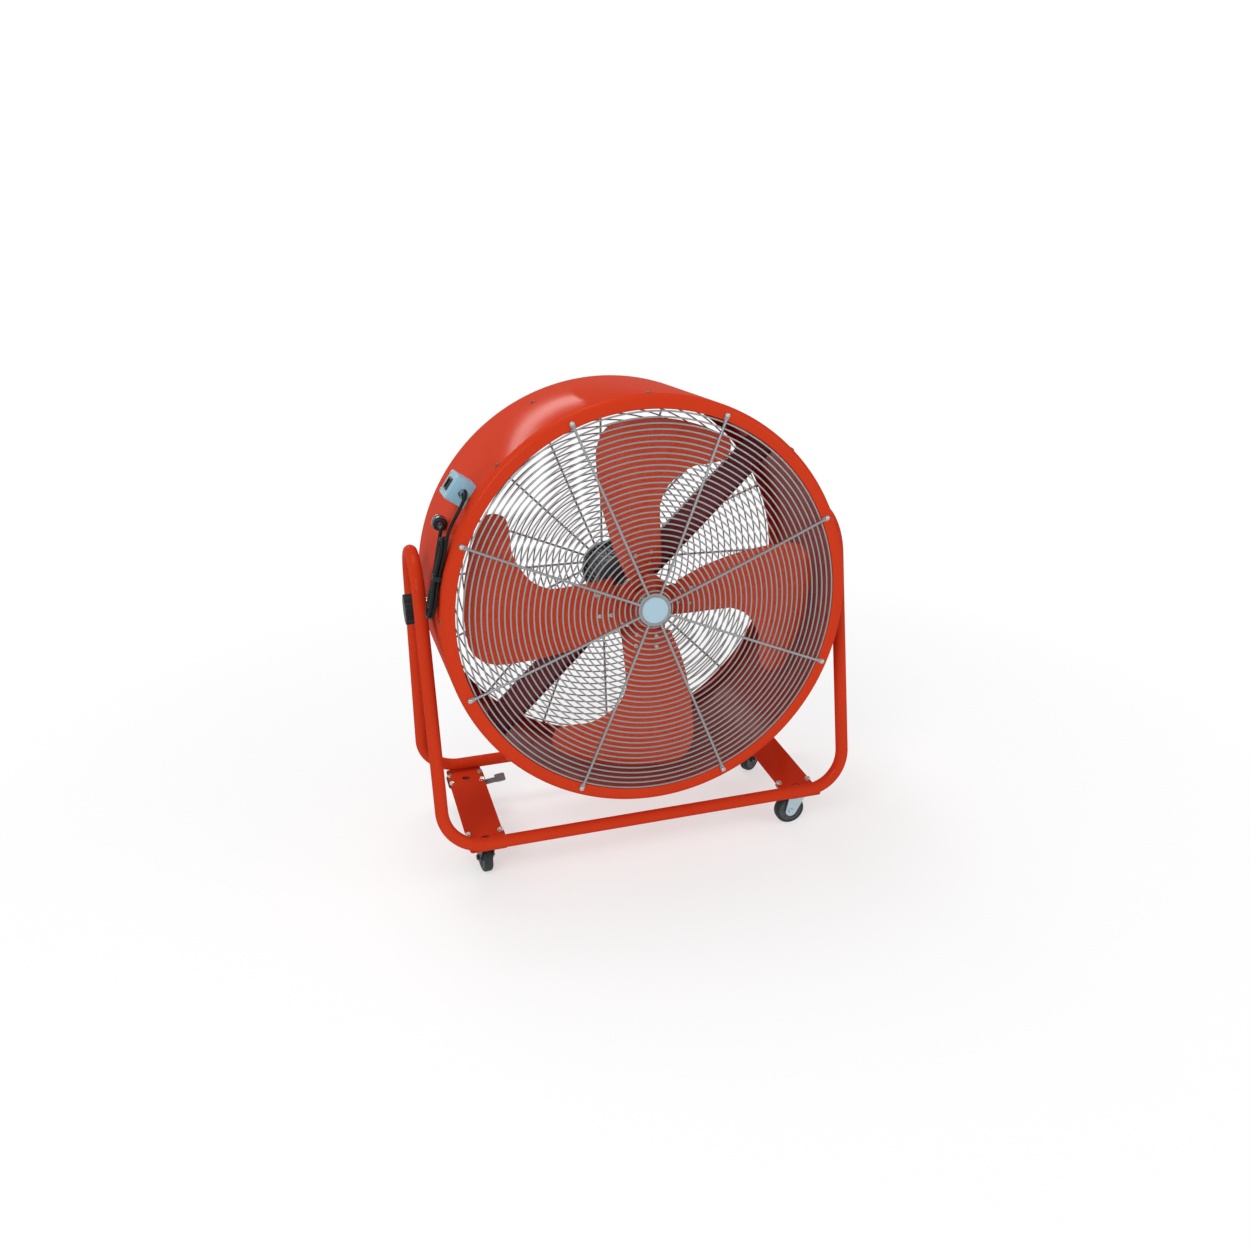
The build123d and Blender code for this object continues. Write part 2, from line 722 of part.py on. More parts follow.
# ---------------------------------------------------------------- cord
def hank_place():
    """The hank's own frame: X towards the drum's front, Y up its length, Z off the wall."""
    a = radians(hank_angle)
    outwards = Vector(cos(a), 0, sin(a))
    stand_off = cord_pitch / 2 + cord_diameter / 2 + tie_sheet + tie_slack
    origin = outwards * (drum_radius + stand_off) + Vector(0, hank_middle_y, 0)
    across = Vector(0, -1, 0).rotate(Axis((0, 0, 0), outwards), hank_slope)
    return Plane(origin, x_dir=across, z_dir=outwards)


def hank_columns():
    """Runs of the hank in order, as (side, nest, layer): inwards in the lower layer, outwards above."""
    lower = [(1, 1, -1), (-1, 1, -1), (1, 0, -1), (-1, 0, -1)]
    upper = [(1, 0, 1), (-1, 0, 1), (1, 1, 1), (-1, 1, 1)]
    return lower + upper


def run_place(column, reach):
    """Point on a run of the hank at its waist (reach 0) or at its wide ends."""
    side, nest, layer = column
    across = hank_wide[nest] if reach else cord_pitch * (nest + 0.5)
    return Vector(side * across, reach, layer * cord_pitch / 2)


def hank_stations():
    """Points and directions along the hank: waist, wide ends and the turns between runs."""
    columns = hank_columns()
    inner = hank_half_run - hank_inner_turn
    turns = [inner if a[1] == b[1] == 0 else hank_half_run for a, b in zip(columns, columns[1:])]
    reaches = [hank_half_run + hank_entry] + turns + [hank_half_run + hank_exit]
    stations = []
    for k, column in enumerate(columns):
        way = -1 if k % 2 == 0 else 1
        along = Vector(0, way, 0)
        if k == 0:
            stations.append((run_place(column, -way * reaches[0]), along))
            stations.append((run_place(column, -way * hank_half_run), along))
        else:
            stations.append((run_place(column, -way * reaches[k]), along))
        stations.append((run_place(column, 0), along))
        if k + 1 < len(columns):
            end = run_place(column, way * reaches[k + 1])
            start = run_place(columns[k + 1], way * reaches[k + 1])
            radius = abs(start.X - end.X) / 2
            middle = (end + start) * 0.5 + Vector(0, way * radius, 0)
            stations.append((end, along))
            climb = hank_climb * (columns[k + 1][2] - column[2]) / 2
            stations.append((middle, Vector(-column[0], 0, climb).normalized()))
        else:
            stations.append((run_place(column, way * hank_half_run), along))
            stations.append((run_place(column, way * reaches[-1]), along))
    return stations


def biarc(start, start_way, end, end_way):
    """Two arcs that join smoothly and leave and arrive along the given directions."""
    gap = end - start
    both = start_way + end_way
    a = 2 * (1 - start_way.dot(end_way))
    b = 2 * gap.dot(both)
    c = -gap.dot(gap)
    reach = -c / b if abs(a) < 1e-9 else (-b + sqrt(b * b - 4 * a * c)) / (2 * a)
    first, second = start + start_way * reach, end - end_way * reach
    middle = (first + second) * 0.5
    return [arc_or_line(start, start_way, middle), arc_or_line(middle, (second - first).normalized(), end)]


def arc_or_line(start, way, end):
    if way.cross((end - start).normalized()).length < 1e-6:
        return Edge.make_line(start, end)
    return Edge.make_tangent_arc(start, way, end)


def hank_path():
    edges = []
    stations = hank_stations()
    for (start, start_way), (end, end_way) in zip(stations, stations[1:]):
        edges += biarc(start, start_way, end, end_way)
    return hank_place() * Wire(edges)


def least_gap(path, step, skip):
    """Least distance between parts of a path more than skip apart along it, less the cord's diameter."""
    count = int(path.length / step)
    points = [tuple(path @ (k / count)) for k in range(count + 1)]
    jump = int(skip / step)
    pairs = [(a, b) for k, a in enumerate(points) for b in points[k + jump:]]
    return min(dist(a, b) for a, b in pairs) - cord_diameter


def cord_hank():
    path = hank_path()
    print("hank length", round(path.length), "least gap", round(least_gap(path, 3, 16), 2))
    return tube_along(path, cord_diameter / 2)


def cord_tie():
    """Strap round the hank's waist, lying on the drum wall."""
    width = 3 * cord_pitch + cord_diameter + 1
    height = cord_pitch + cord_diameter + tie_slack
    band = RectangleRounded(width + 2 * tie_sheet, height + 2 * tie_sheet, 4)
    band -= RectangleRounded(width, height, 3)
    return hank_place() * (Plane.XZ * extrude(band, tie_width / 2, both=True))


def wall_point(angle, radius, y):
    a = radians(angle)
    return Vector(radius * cos(a), y, radius * sin(a))


def hank_end(index, beyond):
    """Place on the line of the hank's first or last straight end, that far beyond its stop."""
    stop = hank_stations()[index][0]
    return hank_place().from_local_coords(stop + Vector(0, beyond, 0))


def lead_points():
    """From the gland's mouth forwards, then down the wall into the hank."""
    mouth_y = box_middle_y - box_size[1] / 2 - gland_length
    mouth = wall_point(box_angle, drum_radius + gland_height, mouth_y)
    forward = mouth + Vector(0, -lead_forward, 0)
    return [mouth, forward, hank_end(0, lead_drop), hank_end(0, 0)]


def tail_points():
    """From the hank up, then back along the drum into the plug."""
    start = plug_start()
    return [hank_end(-1, 0), hank_end(-1, tail_rise), start - Vector(0, tail_straight, 0), start]


def plug_start():
    return wall_point(plug_angle, plug_axis_radius, plug_start_y)


def free_run(points):
    """Tube along straight runs and tangent arcs; prints its radii and checks its volume."""
    radii = []
    for before, corner, after in zip(points, points[1:], points[2:]):
        turn = radians((corner - before).get_angle(after - corner))
        shorter = min((corner - before).length, (after - corner).length)
        radii.append(0.45 * shorter / tan(turn / 2))
    path = FilletPolyline(*points, radius=radii)
    tube = tube_along(path, cord_diameter / 2)
    section = pi * cord_diameter ** 2 / 4
    print("cord run radii", [round(r, 1) for r in radii], "length", round(path.length),
          "volume ratio", round(tube.volume / (section * path.length), 4))
    return tube


def plug():
    """Moulded plug with a ribbed neck and a flanged front, pins towards the drum's rear."""
    neck = Cone(6, 8.5, plug_neck, align=(Align.CENTER, Align.CENTER, Align.MIN))
    body = extrude(RectangleRounded(plug_size[0], plug_size[1], plug_corner), plug_size[2])
    body = Pos(0, 0, plug_neck) * body
    body = fillet(body.faces().sort_by(Axis.Z)[0].edges(), 4)
    return plug_place() * (neck + body)


def plug_place():
    """The plug's own frame: Z from the cord towards the pins, Y off the wall."""
    a = radians(plug_angle)
    return Plane(plug_start(), x_dir=(-sin(a), 0, cos(a)), z_dir=(0, 1, 0)).location


def plug_pins():
    face = plug_neck + plug_size[2]
    pin = upright(2.4, face, face + 19)
    pin = fillet(pin.edges().sort_by(Axis.Z)[-1], 1.5)
    return group(plug_place() * Pos(side * 9.5, 0, 0) * pin for side in (-1, 1))


# ---------------------------------------------------------------- nodes
for side_name, side in sides.items():
    save(f"stand_tube_{side_name}", stand_half(side))
    save(f"base_strap_{side_name}", base_strap(side))
    save(f"pivot_plate_{side_name}", pivot_plate(side))
    save(f"pivot_boss_{side_name}", drum_place(pivot_boss(side)))
    save(f"tilt_knob_{side_name}", drum_place(tilt_knob(side)))

save("caster_bolts", caster_bolts())
for name, heading in caster_headings.items():
    turned = caster_location(name) * Rot(Z=heading)
    braked = name.startswith("r")
    save(f"caster_plate_{name}", caster_location(name) * caster_plate())
    save(f"caster_fork_{name}", turned * (braked_fork() if braked else caster_fork()))
    save(f"caster_wheel_{name}", turned * caster_wheel())
    if braked:
        save(f"brake_pedal_{name}", turned * brake_pedal())

drum_nodes = {
    "drum_shell": drum_shell(),
    "drum_screws": drum_screws(),
    "front_guard": front_guard(),
    "rear_guard": rear_guard(),
    "front_guard_screws": guard_screws(front_tab_angles, front_tab_radius, -1),
    "rear_guard_screws": guard_screws(rear_tab_angles, rear_tab_radius, 1),
    "guard_badge": guard_badge(),
    "motor_strut": motor_strut(),
    "strut_bolts": strut_bolts(),
    "motor_front_cover": motor_front_cover(),
    "motor_housing": motor_housing(),
    "motor_rear_cover": motor_rear_cover(),
    "motor_stator": motor_stator(),
    "motor_bearings": motor_bearings(),
    "motor_shaft": motor_shaft(),
    "motor_rotor": motor_rotor(),
    "impeller_hub": impeller_hub(),
    "blade_rivets": blade_rivets(),
    "shaft_nut": shaft_nut(),
    "switch_box": switch_box(),
    "switch_cover": switch_cover(),
    "switch_screws": switch_screws(),
    "switch_bezel": switch_bezel(),
    "rocker_switch": rocker_switch(),
    "cable_gland": cable_gland(),
    "cord_lead": free_run(lead_points()),
    "cord_tail": free_run(tail_points()),
    "cord_hank": cord_hank(),
    "cord_tie": cord_tie(),
    "plug": plug(),
    "plug_pins": plug_pins(),
}
for number in range(4):
    drum_nodes[f"blade_{number + 1}"] = blade(90 * number)
for name, shape in drum_nodes.items():
    save(name, drum_place(shape))
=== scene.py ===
from math import atan2, cos, pi, radians, sin, sqrt, tan

import bmesh
import bpy
from mathutils import Matrix, Vector
from mathutils.geometry import delaunay_2d_cdt


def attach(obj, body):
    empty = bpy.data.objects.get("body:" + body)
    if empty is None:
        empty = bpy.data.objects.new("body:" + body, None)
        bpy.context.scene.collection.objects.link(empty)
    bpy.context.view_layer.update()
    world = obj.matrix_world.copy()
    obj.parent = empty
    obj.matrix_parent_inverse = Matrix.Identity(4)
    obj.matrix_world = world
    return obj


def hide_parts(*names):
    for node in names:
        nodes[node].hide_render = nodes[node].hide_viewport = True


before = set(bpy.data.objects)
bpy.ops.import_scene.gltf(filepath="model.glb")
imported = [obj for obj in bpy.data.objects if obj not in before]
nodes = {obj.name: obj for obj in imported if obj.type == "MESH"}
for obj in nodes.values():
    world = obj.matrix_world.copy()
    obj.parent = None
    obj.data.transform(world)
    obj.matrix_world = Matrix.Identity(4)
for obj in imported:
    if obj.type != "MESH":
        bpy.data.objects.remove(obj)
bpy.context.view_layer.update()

# Sizes below are the CAD source's, in millimetres; MM brings them to Blender's metres.
MM = 0.001
drum_radius = 500
drum_depth = 436
drum_half = drum_depth / 2
sheet = 2
front_bore = 466
rear_bore = 476
rim_radius = 17
lip_depth = 12
lip_corner = 2
pivot_height = 683
rest_tilt = 5
tube_radius = 16
leg_x = 531
bar_z = 123
bar_y = 209
leg_y_at_pivot = 109
arch_radius = 100
corner_radius = 100
weld_sink = 0.5
strap_x = 423
strap_width = 94
strap_thickness = 5
strap_top = bar_z - tube_radius + weld_sink
strap_under = strap_top - strap_thickness
pivot_plate_height = 64
pivot_plate_thickness = 5
caster_y = 154
caster_plate_sheet = 3
caster_bolt_x = 41.5
caster_bolt_y = 22
bolt_head_radius = 7.5
washer_radius = 8
wheel_radius = 40
tread_corner = 6.5
trail = 20
caster_headings = {"fl": 6, "fr": 90, "rl": -92, "rr": 128}
caster_places = {"fl": (-1, -1), "fr": (1, -1), "rl": (-1, 1), "rr": (1, 1)}
front_tab_radius = 479
rear_tab_radius = 485
tab_thickness = 3
tab_width = 13
front_rings = (45, 462, 32)
rear_rings = (52, 471, 25)
front_dome = 17
rear_dome = 22
spoke = 6
wire = 4
spoke_past_tab = 8
spoke_start_radius = 22
guard_disc_radius = 40
spoke_start_angle = 21
front_angles = [spoke_start_angle + 45 * k for k in range(8)]
rear_angles = [spoke_start_angle + 22.5 * k for k in range(16)]
badge_radius = 35
badge_border = 4
drum_screw_spots = [(43 + 45 * k, -194) for k in range(8)] + [(113, 89)]
strut_angle = 42.2
strut_bolt_turn = 2.6
strut_bolt_y = 24
strut_washer_radius = 8.2
motor_bolt_pcd_radius = 58
motor_bolt_angle = 24
blade_thickness = 3
blade_middle = -150
blade_camber = 12
blade_half_chord = 190
blade_reach = 400
blade_lean = 0.125
blade_tip = 440
helix_lead = 65
helix_root = 20
box_angle = 144
box_middle_y = -125
box_length = 90
box_height = 36
cover_height = 12
cover_screw_x = 23
cover_screw_y = 38
gland_height = 17
gland_length = 17
cord_diameter = 8
cord_pitch = 8.8

drum_place = Matrix.Translation((0, 0, pivot_height * MM)) @ Matrix.Rotation(-radians(rest_tilt), 4, "X")


def new_object(name, data):
    """Object of this data, in the scene."""
    thing = bpy.data.objects.new(name, data)
    bpy.context.scene.collection.objects.link(thing)
    return thing


# ---- camera
camera_spot = (-778.5, -2728.8, 1774.1)
camera_turns = (-15.8, -23.0, -0.9)
focal_pixels = 1200
photo_pixels = 1250


def make_camera():
    """Camera at the photograph's place, from the fit of the drum's rims, frame and wheels."""
    place = Vector(camera_spot) * MM
    yaw, pitch, roll = [radians(turn) for turn in camera_turns]
    forward = Vector((-sin(yaw) * cos(pitch), cos(yaw) * cos(pitch), sin(pitch)))
    right = forward.cross(Vector((0, 0, 1))).normalized()
    up = right.cross(forward)
    turned_right = right * cos(roll) + up * sin(roll)
    turned_up = up * cos(roll) - right * sin(roll)
    data = bpy.data.cameras.new("camera")
    data.sensor_width = 36
    data.lens = data.sensor_width * focal_pixels / photo_pixels
    data.clip_start = 0.05
    camera = new_object("camera", data)
    turn = Matrix((turned_right, turned_up, -forward)).transposed().to_4x4()
    camera.matrix_world = Matrix.Translation(place) @ turn
    bpy.context.scene.camera = camera


# ---- materials
def link(tree, a, b):
    """Joins an output to an input."""
    tree.links.new(a, b)


def new_node(tree, kind, values):
    """Shader node of this kind, with these inputs set."""
    node = tree.nodes.new("ShaderNode" + kind)
    set_inputs(node, values)
    return node


def set_inputs(node, values):
    """Sets the node's inputs of these names."""
    for name, value in values.items():
        node.inputs[name].default_value = value


def noise_node(tree, coordinates, scale, detail, stretch=None):
    """Noise, stretched by these factors if given."""
    if stretch:
        mapping = new_node(tree, "Mapping", {"Scale": stretch})
        link(tree, coordinates, mapping.inputs["Vector"])
        coordinates = mapping.outputs["Vector"]
    node = new_node(tree, "TexNoise", {"Scale": scale, "Detail": detail})
    link(tree, coordinates, node.inputs["Vector"])
    return node.outputs["Fac"]


def spread(tree, value, low, high, start=0.3, end=0.7):
    """Brings the range from start to end onto the one from low to high."""
    ends = {"From Min": start, "From Max": end, "To Min": low, "To Max": high}
    node = new_node(tree, "MapRange", ends)
    link(tree, value, node.inputs["Value"])
    return node.outputs["Result"]


def surface(name, color, rough, second, metallic=0.0, coat=0.0, specular=0.5, mix_scale=40,
            rough_spread=0.08, bump_scale=1200, bump_height=0.02, stretch=None):
    """Finish from noise: slow for the colours, middle for roughness, fine for bump."""
    material = bpy.data.materials.new(name)
    material.use_nodes = True
    tree = material.node_tree
    shader = tree.nodes["Principled BSDF"]
    coordinates = tree.nodes.new("ShaderNodeTexCoord").outputs["Object"]
    set_inputs(shader, {"Metallic": metallic, "Coat Weight": coat, "Coat Roughness": 0.1,
                        "Specular IOR Level": specular})
    mix = tree.nodes.new("ShaderNodeMix")
    mix.data_type = "RGBA"
    set_inputs(mix, {"A": (*color, 1), "B": (*second, 1)})
    slow = noise_node(tree, coordinates, mix_scale, 4)
    link(tree, spread(tree, slow, 0, 0.5), mix.inputs["Factor"])
    link(tree, mix.outputs["Result"], shader.inputs["Base Color"])
    middle = noise_node(tree, coordinates, mix_scale * 8, 5, stretch)
    uneven = spread(tree, middle, rough - rough_spread, rough + rough_spread)
    link(tree, uneven, shader.inputs["Roughness"])
    bump = new_node(tree, "Bump", {"Strength": 0.35, "Distance": bump_height * MM})
    link(tree, noise_node(tree, coordinates, bump_scale, 3, stretch), bump.inputs["Height"])
    link(tree, bump.outputs["Normal"], shader.inputs["Normal"])
    return material


paint = surface("orange_powder_coat", (0.55, 0.040, 0.011), 0.3, (0.48, 0.032, 0.009), coat=0.07,
                specular=0.0, mix_scale=3, bump_scale=260, bump_height=0.012)
# The inner wall's paint is darker than the outer paint: painted shade inside the drum.
inner_painted_shade = surface("orange_paint_painted_shade_inside", (0.38, 0.038, 0.018), 0.45, (0.29, 0.031, 0.015),
                      coat=0.06, specular=0.05, mix_scale=4, bump_scale=260)
fan_paint = surface("orange_blade_paint", (0.60, 0.058, 0.016), 0.26, (0.50, 0.045, 0.013), coat=0.25,
                    specular=0.2, mix_scale=6, bump_scale=300, bump_height=0.015)
guard_coat = surface("light_grey_guard_coat", (0.30, 0.31, 0.32), 0.36, (0.25, 0.26, 0.27),
                     metallic=0.35, specular=0.4, mix_scale=9, bump_scale=900)
rear_coat = surface("grey_guard_coat", (0.54, 0.57, 0.59), 0.4, (0.45, 0.48, 0.50), metallic=0.2,
                    mix_scale=9, bump_scale=900)
badge_finish = surface("badge_blue_grey", (0.36, 0.51, 0.60), 0.3, (0.34, 0.48, 0.57), coat=0.1,
                       specular=0.3, mix_scale=6, rough_spread=0.04, bump_scale=300, bump_height=0.005)
dark_screw = surface("browned_screw", (0.17, 0.10, 0.08), 0.4, (0.10, 0.06, 0.05), metallic=0.6,
                     mix_scale=60)
# The strut's orange paint is darkened to purple-brown: painted shade on the strut.
strut_painted_shade = surface("strut_painted_shade", (0.22, 0.042, 0.045), 0.4, (0.16, 0.036, 0.045), coat=0.12,
                      specular=0.1, mix_scale=4, bump_scale=260)
zinc = surface("bright_zinc", (0.62, 0.60, 0.54), 0.3, (0.50, 0.46, 0.38), metallic=0.9, mix_scale=60,
               bump_scale=1500, bump_height=0.01)
caster_zinc = surface("zinc_plated_caster", (0.50, 0.62, 0.68), 0.32, (0.40, 0.50, 0.55), metallic=0.8,
                      bump_height=0.01)
# Black steel for the rear casters; on the front left caster this black is painted shade.
caster_black_and_painted_shade = surface("black_caster_steel_and_painted_shade", (0.018, 0.02, 0.022), 0.42, (0.03, 0.032, 0.034),
                       specular=0.35)
rubber = surface("black_tyre_rubber", (0.022, 0.026, 0.028), 0.6, (0.038, 0.042, 0.044), specular=0.25,
                 mix_scale=50, bump_scale=1600, bump_height=0.04)
wheel_core = surface("wheel_core_grey", (0.07, 0.085, 0.09), 0.45, (0.05, 0.062, 0.066), specular=0.35,
                     mix_scale=50)
pedal_grey = surface("pedal_grey", (0.16, 0.165, 0.18), 0.45, (0.11, 0.115, 0.13), specular=0.35,
                     mix_scale=50)
knob_black = surface("moulded_knob_black", (0.009, 0.010, 0.011), 0.5, (0.016, 0.018, 0.019),
                     specular=0.2, mix_scale=60, bump_scale=1800, bump_height=0.04)
motor_paint = surface("dark_grey_motor_paint", (0.05, 0.058, 0.066), 0.42, (0.036, 0.042, 0.05),
                      specular=0.35, mix_scale=20, bump_scale=800, bump_height=0.05)
iron = surface("laminated_iron", (0.23, 0.20, 0.18), 0.5, (0.15, 0.12, 0.10), metallic=0.7, mix_scale=30,
               stretch=(1, 25, 1), bump_scale=700, bump_height=0.03)
steel = surface("turned_steel", (0.62, 0.62, 0.62), 0.28, (0.5, 0.5, 0.5), metallic=1.0, mix_scale=30,
                stretch=(1, 30, 1), bump_scale=300, bump_height=0.03)
box_plastic = surface("switch_box_blue_grey", (0.24, 0.43, 0.54), 0.42, (0.20, 0.37, 0.48),
                      specular=0.3, mix_scale=25, bump_scale=2200, bump_height=0.03)
switch_black = surface("switch_black", (0.012, 0.014, 0.014), 0.4, (0.022, 0.025, 0.024), specular=0.3,
                       mix_scale=60, bump_scale=1500, bump_height=0.01)
rocker_red = surface("rocker_dark_red", (0.09, 0.01, 0.01), 0.28, (0.06, 0.009, 0.009), coat=0.3,
                     mix_scale=60, bump_scale=1500, bump_height=0.01)
cord_black = surface("cord_rubber_black", (0.006, 0.0065, 0.007), 0.5, (0.011, 0.0115, 0.012),
                     specular=0.15, bump_scale=1500, bump_height=0.03)
gland_black = surface("gland_black", (0.006, 0.0065, 0.007), 0.45, (0.010, 0.0105, 0.011),
                      specular=0.15, mix_scale=60, bump_scale=1500)
plug_black = surface("plug_gloss_black", (0.010, 0.012, 0.018), 0.2, (0.016, 0.018, 0.026), coat=0.3,
                     rough_spread=0.05, bump_scale=1500, bump_height=0.01)
tie_black = surface("tie_black", (0.012, 0.012, 0.013), 0.5, (0.018, 0.018, 0.02), specular=0.2,
                    mix_scale=60, bump_scale=900, bump_height=0.05)
brass = surface("pin_brass", (0.72, 0.56, 0.26), 0.25, (0.6, 0.45, 0.2), metallic=1.0, mix_scale=80,
                bump_scale=1500, bump_height=0.01)


# ---- shapes
# An outline turned about the Z axis comes no nearer to it than this.
least_radius = 0.1
sharp_angle = 32


class Shape:
    """Vertices and faces of a piece, in millimetres."""

    def __init__(self):
        self.verts = []
        self.faces = []

    def add(self, verts, faces, place=None):
        """Joins in more vertices and faces, at their place."""
        start = len(self.verts)
        self.verts += [place @ Vector(v) if place else Vector(v) for v in verts]
        self.faces += [[start + i for i in face] for face in faces]

    def lathe(self, profile, steps, place=None):
        """Closed (radius, axial) outline turned about the Y axis."""
        count = len(profile)
        verts, faces = [], []
        for s in range(steps):
            a = 2 * pi * s / steps
            verts += [(r * cos(a), y, r * sin(a)) for r, y in profile]
        for s in range(steps):
            here, there = s * count, (s + 1) % steps * count
            for k in range(count):
                n = (k + 1) % count
                faces.append((here + k, there + k, there + n, here + n))
        self.add(verts, faces, place)

    def turned(self, profile, steps, place=None):
        """Open (radius, height) outline from axis to axis, turned about the Z axis."""
        verts, faces = [], []
        turns = [2 * pi * s / steps for s in range(steps)]
        for radius, z in profile:
            r = max(radius, least_radius)
            verts += [(r * cos(a), r * sin(a), z) for a in turns]
        for k in range(len(profile) - 1):
            for s in range(steps):
                n = (s + 1) % steps
                faces.append((k * steps + s, k * steps + n, (k + 1) * steps + n, (k + 1) * steps + s))
        faces.append(tuple(reversed(range(steps))))
        last = (len(profile) - 1) * steps
        faces.append(tuple(last + s for s in range(steps)))
        self.add(verts, faces, place)

    def tube(self, points, radius, sides=12, closed=False, place=None):
        """Round bar along points, of one radius or one for each point."""
        points = [Vector(p) for p in points]
        count = len(points)
        radii = radius if isinstance(radius, list) else [radius] * count
        verts, faces = [], []
        side = None
        for i, point in enumerate(points):
            before = points[i - 1] if closed or i else points[0]
            after = points[(i + 1) % count] if closed or i + 1 < count else points[-1]
            way = (after - before).normalized()
            if side is None:
                side = way.orthogonal().normalized()
            side = (side - way * side.dot(way)).normalized()
            other = way.cross(side)
            for k in range(sides):
                a = 2 * pi * k / sides
                verts.append(point + (side * cos(a) + other * sin(a)) * radii[i])
        spans = count if closed else count - 1
        for i in range(spans):
            here, there = i * sides, (i + 1) % count * sides
            for k in range(sides):
                n = (k + 1) % sides
                faces.append((here + k, here + n, there + n, there + k))
        if not closed:
            faces.append(tuple(reversed(range(sides))))
            faces.append(tuple((count - 1) * sides + k for k in range(sides)))
        self.add(verts, faces, place)

    def prism(self, outline, low, high, place=None):
        """Outline in X and Y, from low to high along Z."""
        count = len(outline)
        verts = [(x, y, low) for x, y in outline] + [(x, y, high) for x, y in outline]
        faces = [tuple(reversed(range(count))), tuple(range(count, 2 * count))]
        for k in range(count):
            n = (k + 1) % count
            faces.append((k, n, count + n, count + k))
        self.add(verts, faces, place)


def build_mesh(name, shape, scale=1, place=Matrix()):
    """Mesh of the shape, with double points merged and faces turned outwards."""
    mesh = bpy.data.meshes.new(name)
    mesh.from_pydata([v * scale for v in shape.verts], [], shape.faces)
    mesh.transform(place)
    work = bmesh.new()
    work.from_mesh(mesh)
    bmesh.ops.remove_doubles(work, verts=work.verts, dist=1e-6)
    bmesh.ops.recalc_face_normals(work, faces=work.faces)
    work.to_mesh(mesh)
    work.free()
    return mesh


def finish_piece(shape, name, material, body, replaced=(), bevel=0.0, angle=sharp_angle):
    """Makes the shape an object; the drum's and impeller's shapes are in the drum's frame."""
    mesh = build_mesh(name, shape, MM, drum_place if body in ("drum", "impeller") else Matrix())
    return settle(mesh, name, material, body, replaced, bevel, 2, angle)


def settle(mesh, name, material, body, replaced, bevel, segments, angle):
    """Makes the mesh an object with its finish and rounded edges, riding its body."""
    mesh.materials.clear()
    mesh.materials.append(material)
    mesh.shade_smooth()
    mesh.set_sharp_from_angle(angle=radians(angle))
    piece = new_object(name, mesh)
    if bevel:
        round_edges(piece, bevel, segments, angle)
    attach(piece, body)
    if replaced:
        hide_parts(*replaced)
    return piece


def round_edges(piece, width, segments, angle):
    """Rounds the edges that turn by more than this angle."""
    rounding = piece.modifiers.new("bevel", "BEVEL")
    rounding.width = width * MM
    rounding.segments = segments
    rounding.limit_method = "ANGLE"
    rounding.angle_limit = radians(angle)


def dress(node, material, body, bevel, segments=2):
    """Rounded-edge version of a CAD node, which it replaces."""
    mesh = nodes[node].data.copy()
    work = bmesh.new()
    work.from_mesh(mesh)
    bmesh.ops.remove_doubles(work, verts=work.verts, dist=2e-6)
    bmesh.ops.dissolve_limit(work, angle_limit=radians(1.2), verts=work.verts, edges=work.edges)
    work.to_mesh(mesh)
    work.free()
    if "custom_normal" in mesh.attributes:
        mesh.attributes.remove(mesh.attributes["custom_normal"])
    return settle(mesh, node + "_dressed", material, body, (node,), bevel, segments,
                  sharp_angle)


def arc(center, radius, start, end, steps):
    """Points of an arc in a plane, angles in degrees."""
    angles = [radians(start + (end - start) * k / steps) for k in range(steps + 1)]
    return [(center[0] + radius * cos(a), center[1] + radius * sin(a)) for a in angles]


def rounded_rectangle(width, length, corner):
    """Outline of a rectangle with round corners, about the origin."""
    x, y = width / 2 - corner, length / 2 - corner
    return (arc((x, y), corner, 0, 90, 5) + arc((-x, y), corner, 90, 180, 5)
            + arc((-x, -y), corner, 180, 270, 5) + arc((x, -y), corner, 270, 360, 5))


def hexagon(radius, turn=0):
    """Six corners, the first at this turn."""
    turns = [radians(60 * k + turn) for k in range(6)]
    return [(radius * cos(a), radius * sin(a)) for a in turns]


def disc(radius, low, high):
    """Outline of a flat disc, to be turned about its axis."""
    return [(0, low), (radius, low), (radius, high), (0, high)]


def around(angle):
    """Turn about the drum's axis that takes +X to this angle in the front view."""
    return Matrix.Rotation(-radians(angle), 4, "Y")


def frame_at(place, x_way, z_way):
    """Place whose local X and Z point these ways."""
    turn = Matrix((x_way, z_way.cross(x_way), z_way)).transposed().to_4x4()
    return Matrix.Translation(place) @ turn


def wall_point(angle, radius, y):
    """Point at this angle, radius and place along the drum."""
    a = radians(angle)
    return Vector((radius * cos(a), y, radius * sin(a)))


def wall_place(angle, radius, y):
    """Place on the drum wall: local Z outwards, X along the rim, Y towards the drum's front."""
    along_rim = wall_point(angle + 90, 1, 0)
    return frame_at(wall_point(angle, radius, y), along_rim, wall_point(angle, 1, 0))


# ---- stand
def corner_arc(before, corner, after, radius, steps):
    """Arc tangent to two straight runs that meet at a corner."""
    a = (Vector(before) - Vector(corner)).normalized()
    b = (Vector(after) - Vector(corner)).normalized()
    half = a.angle(b) / 2
    center = Vector(corner) + (a + b).normalized() * radius / sin(half)
    start = Vector(corner) + a * radius / tan(half) - center
    end = Vector(corner) + b * radius / tan(half) - center
    turn = start.angle(end)
    return [center + (start * sin(turn * (1 - k / steps)) + end * sin(turn * k / steps)) / sin(turn)
            for k in range(steps + 1)]


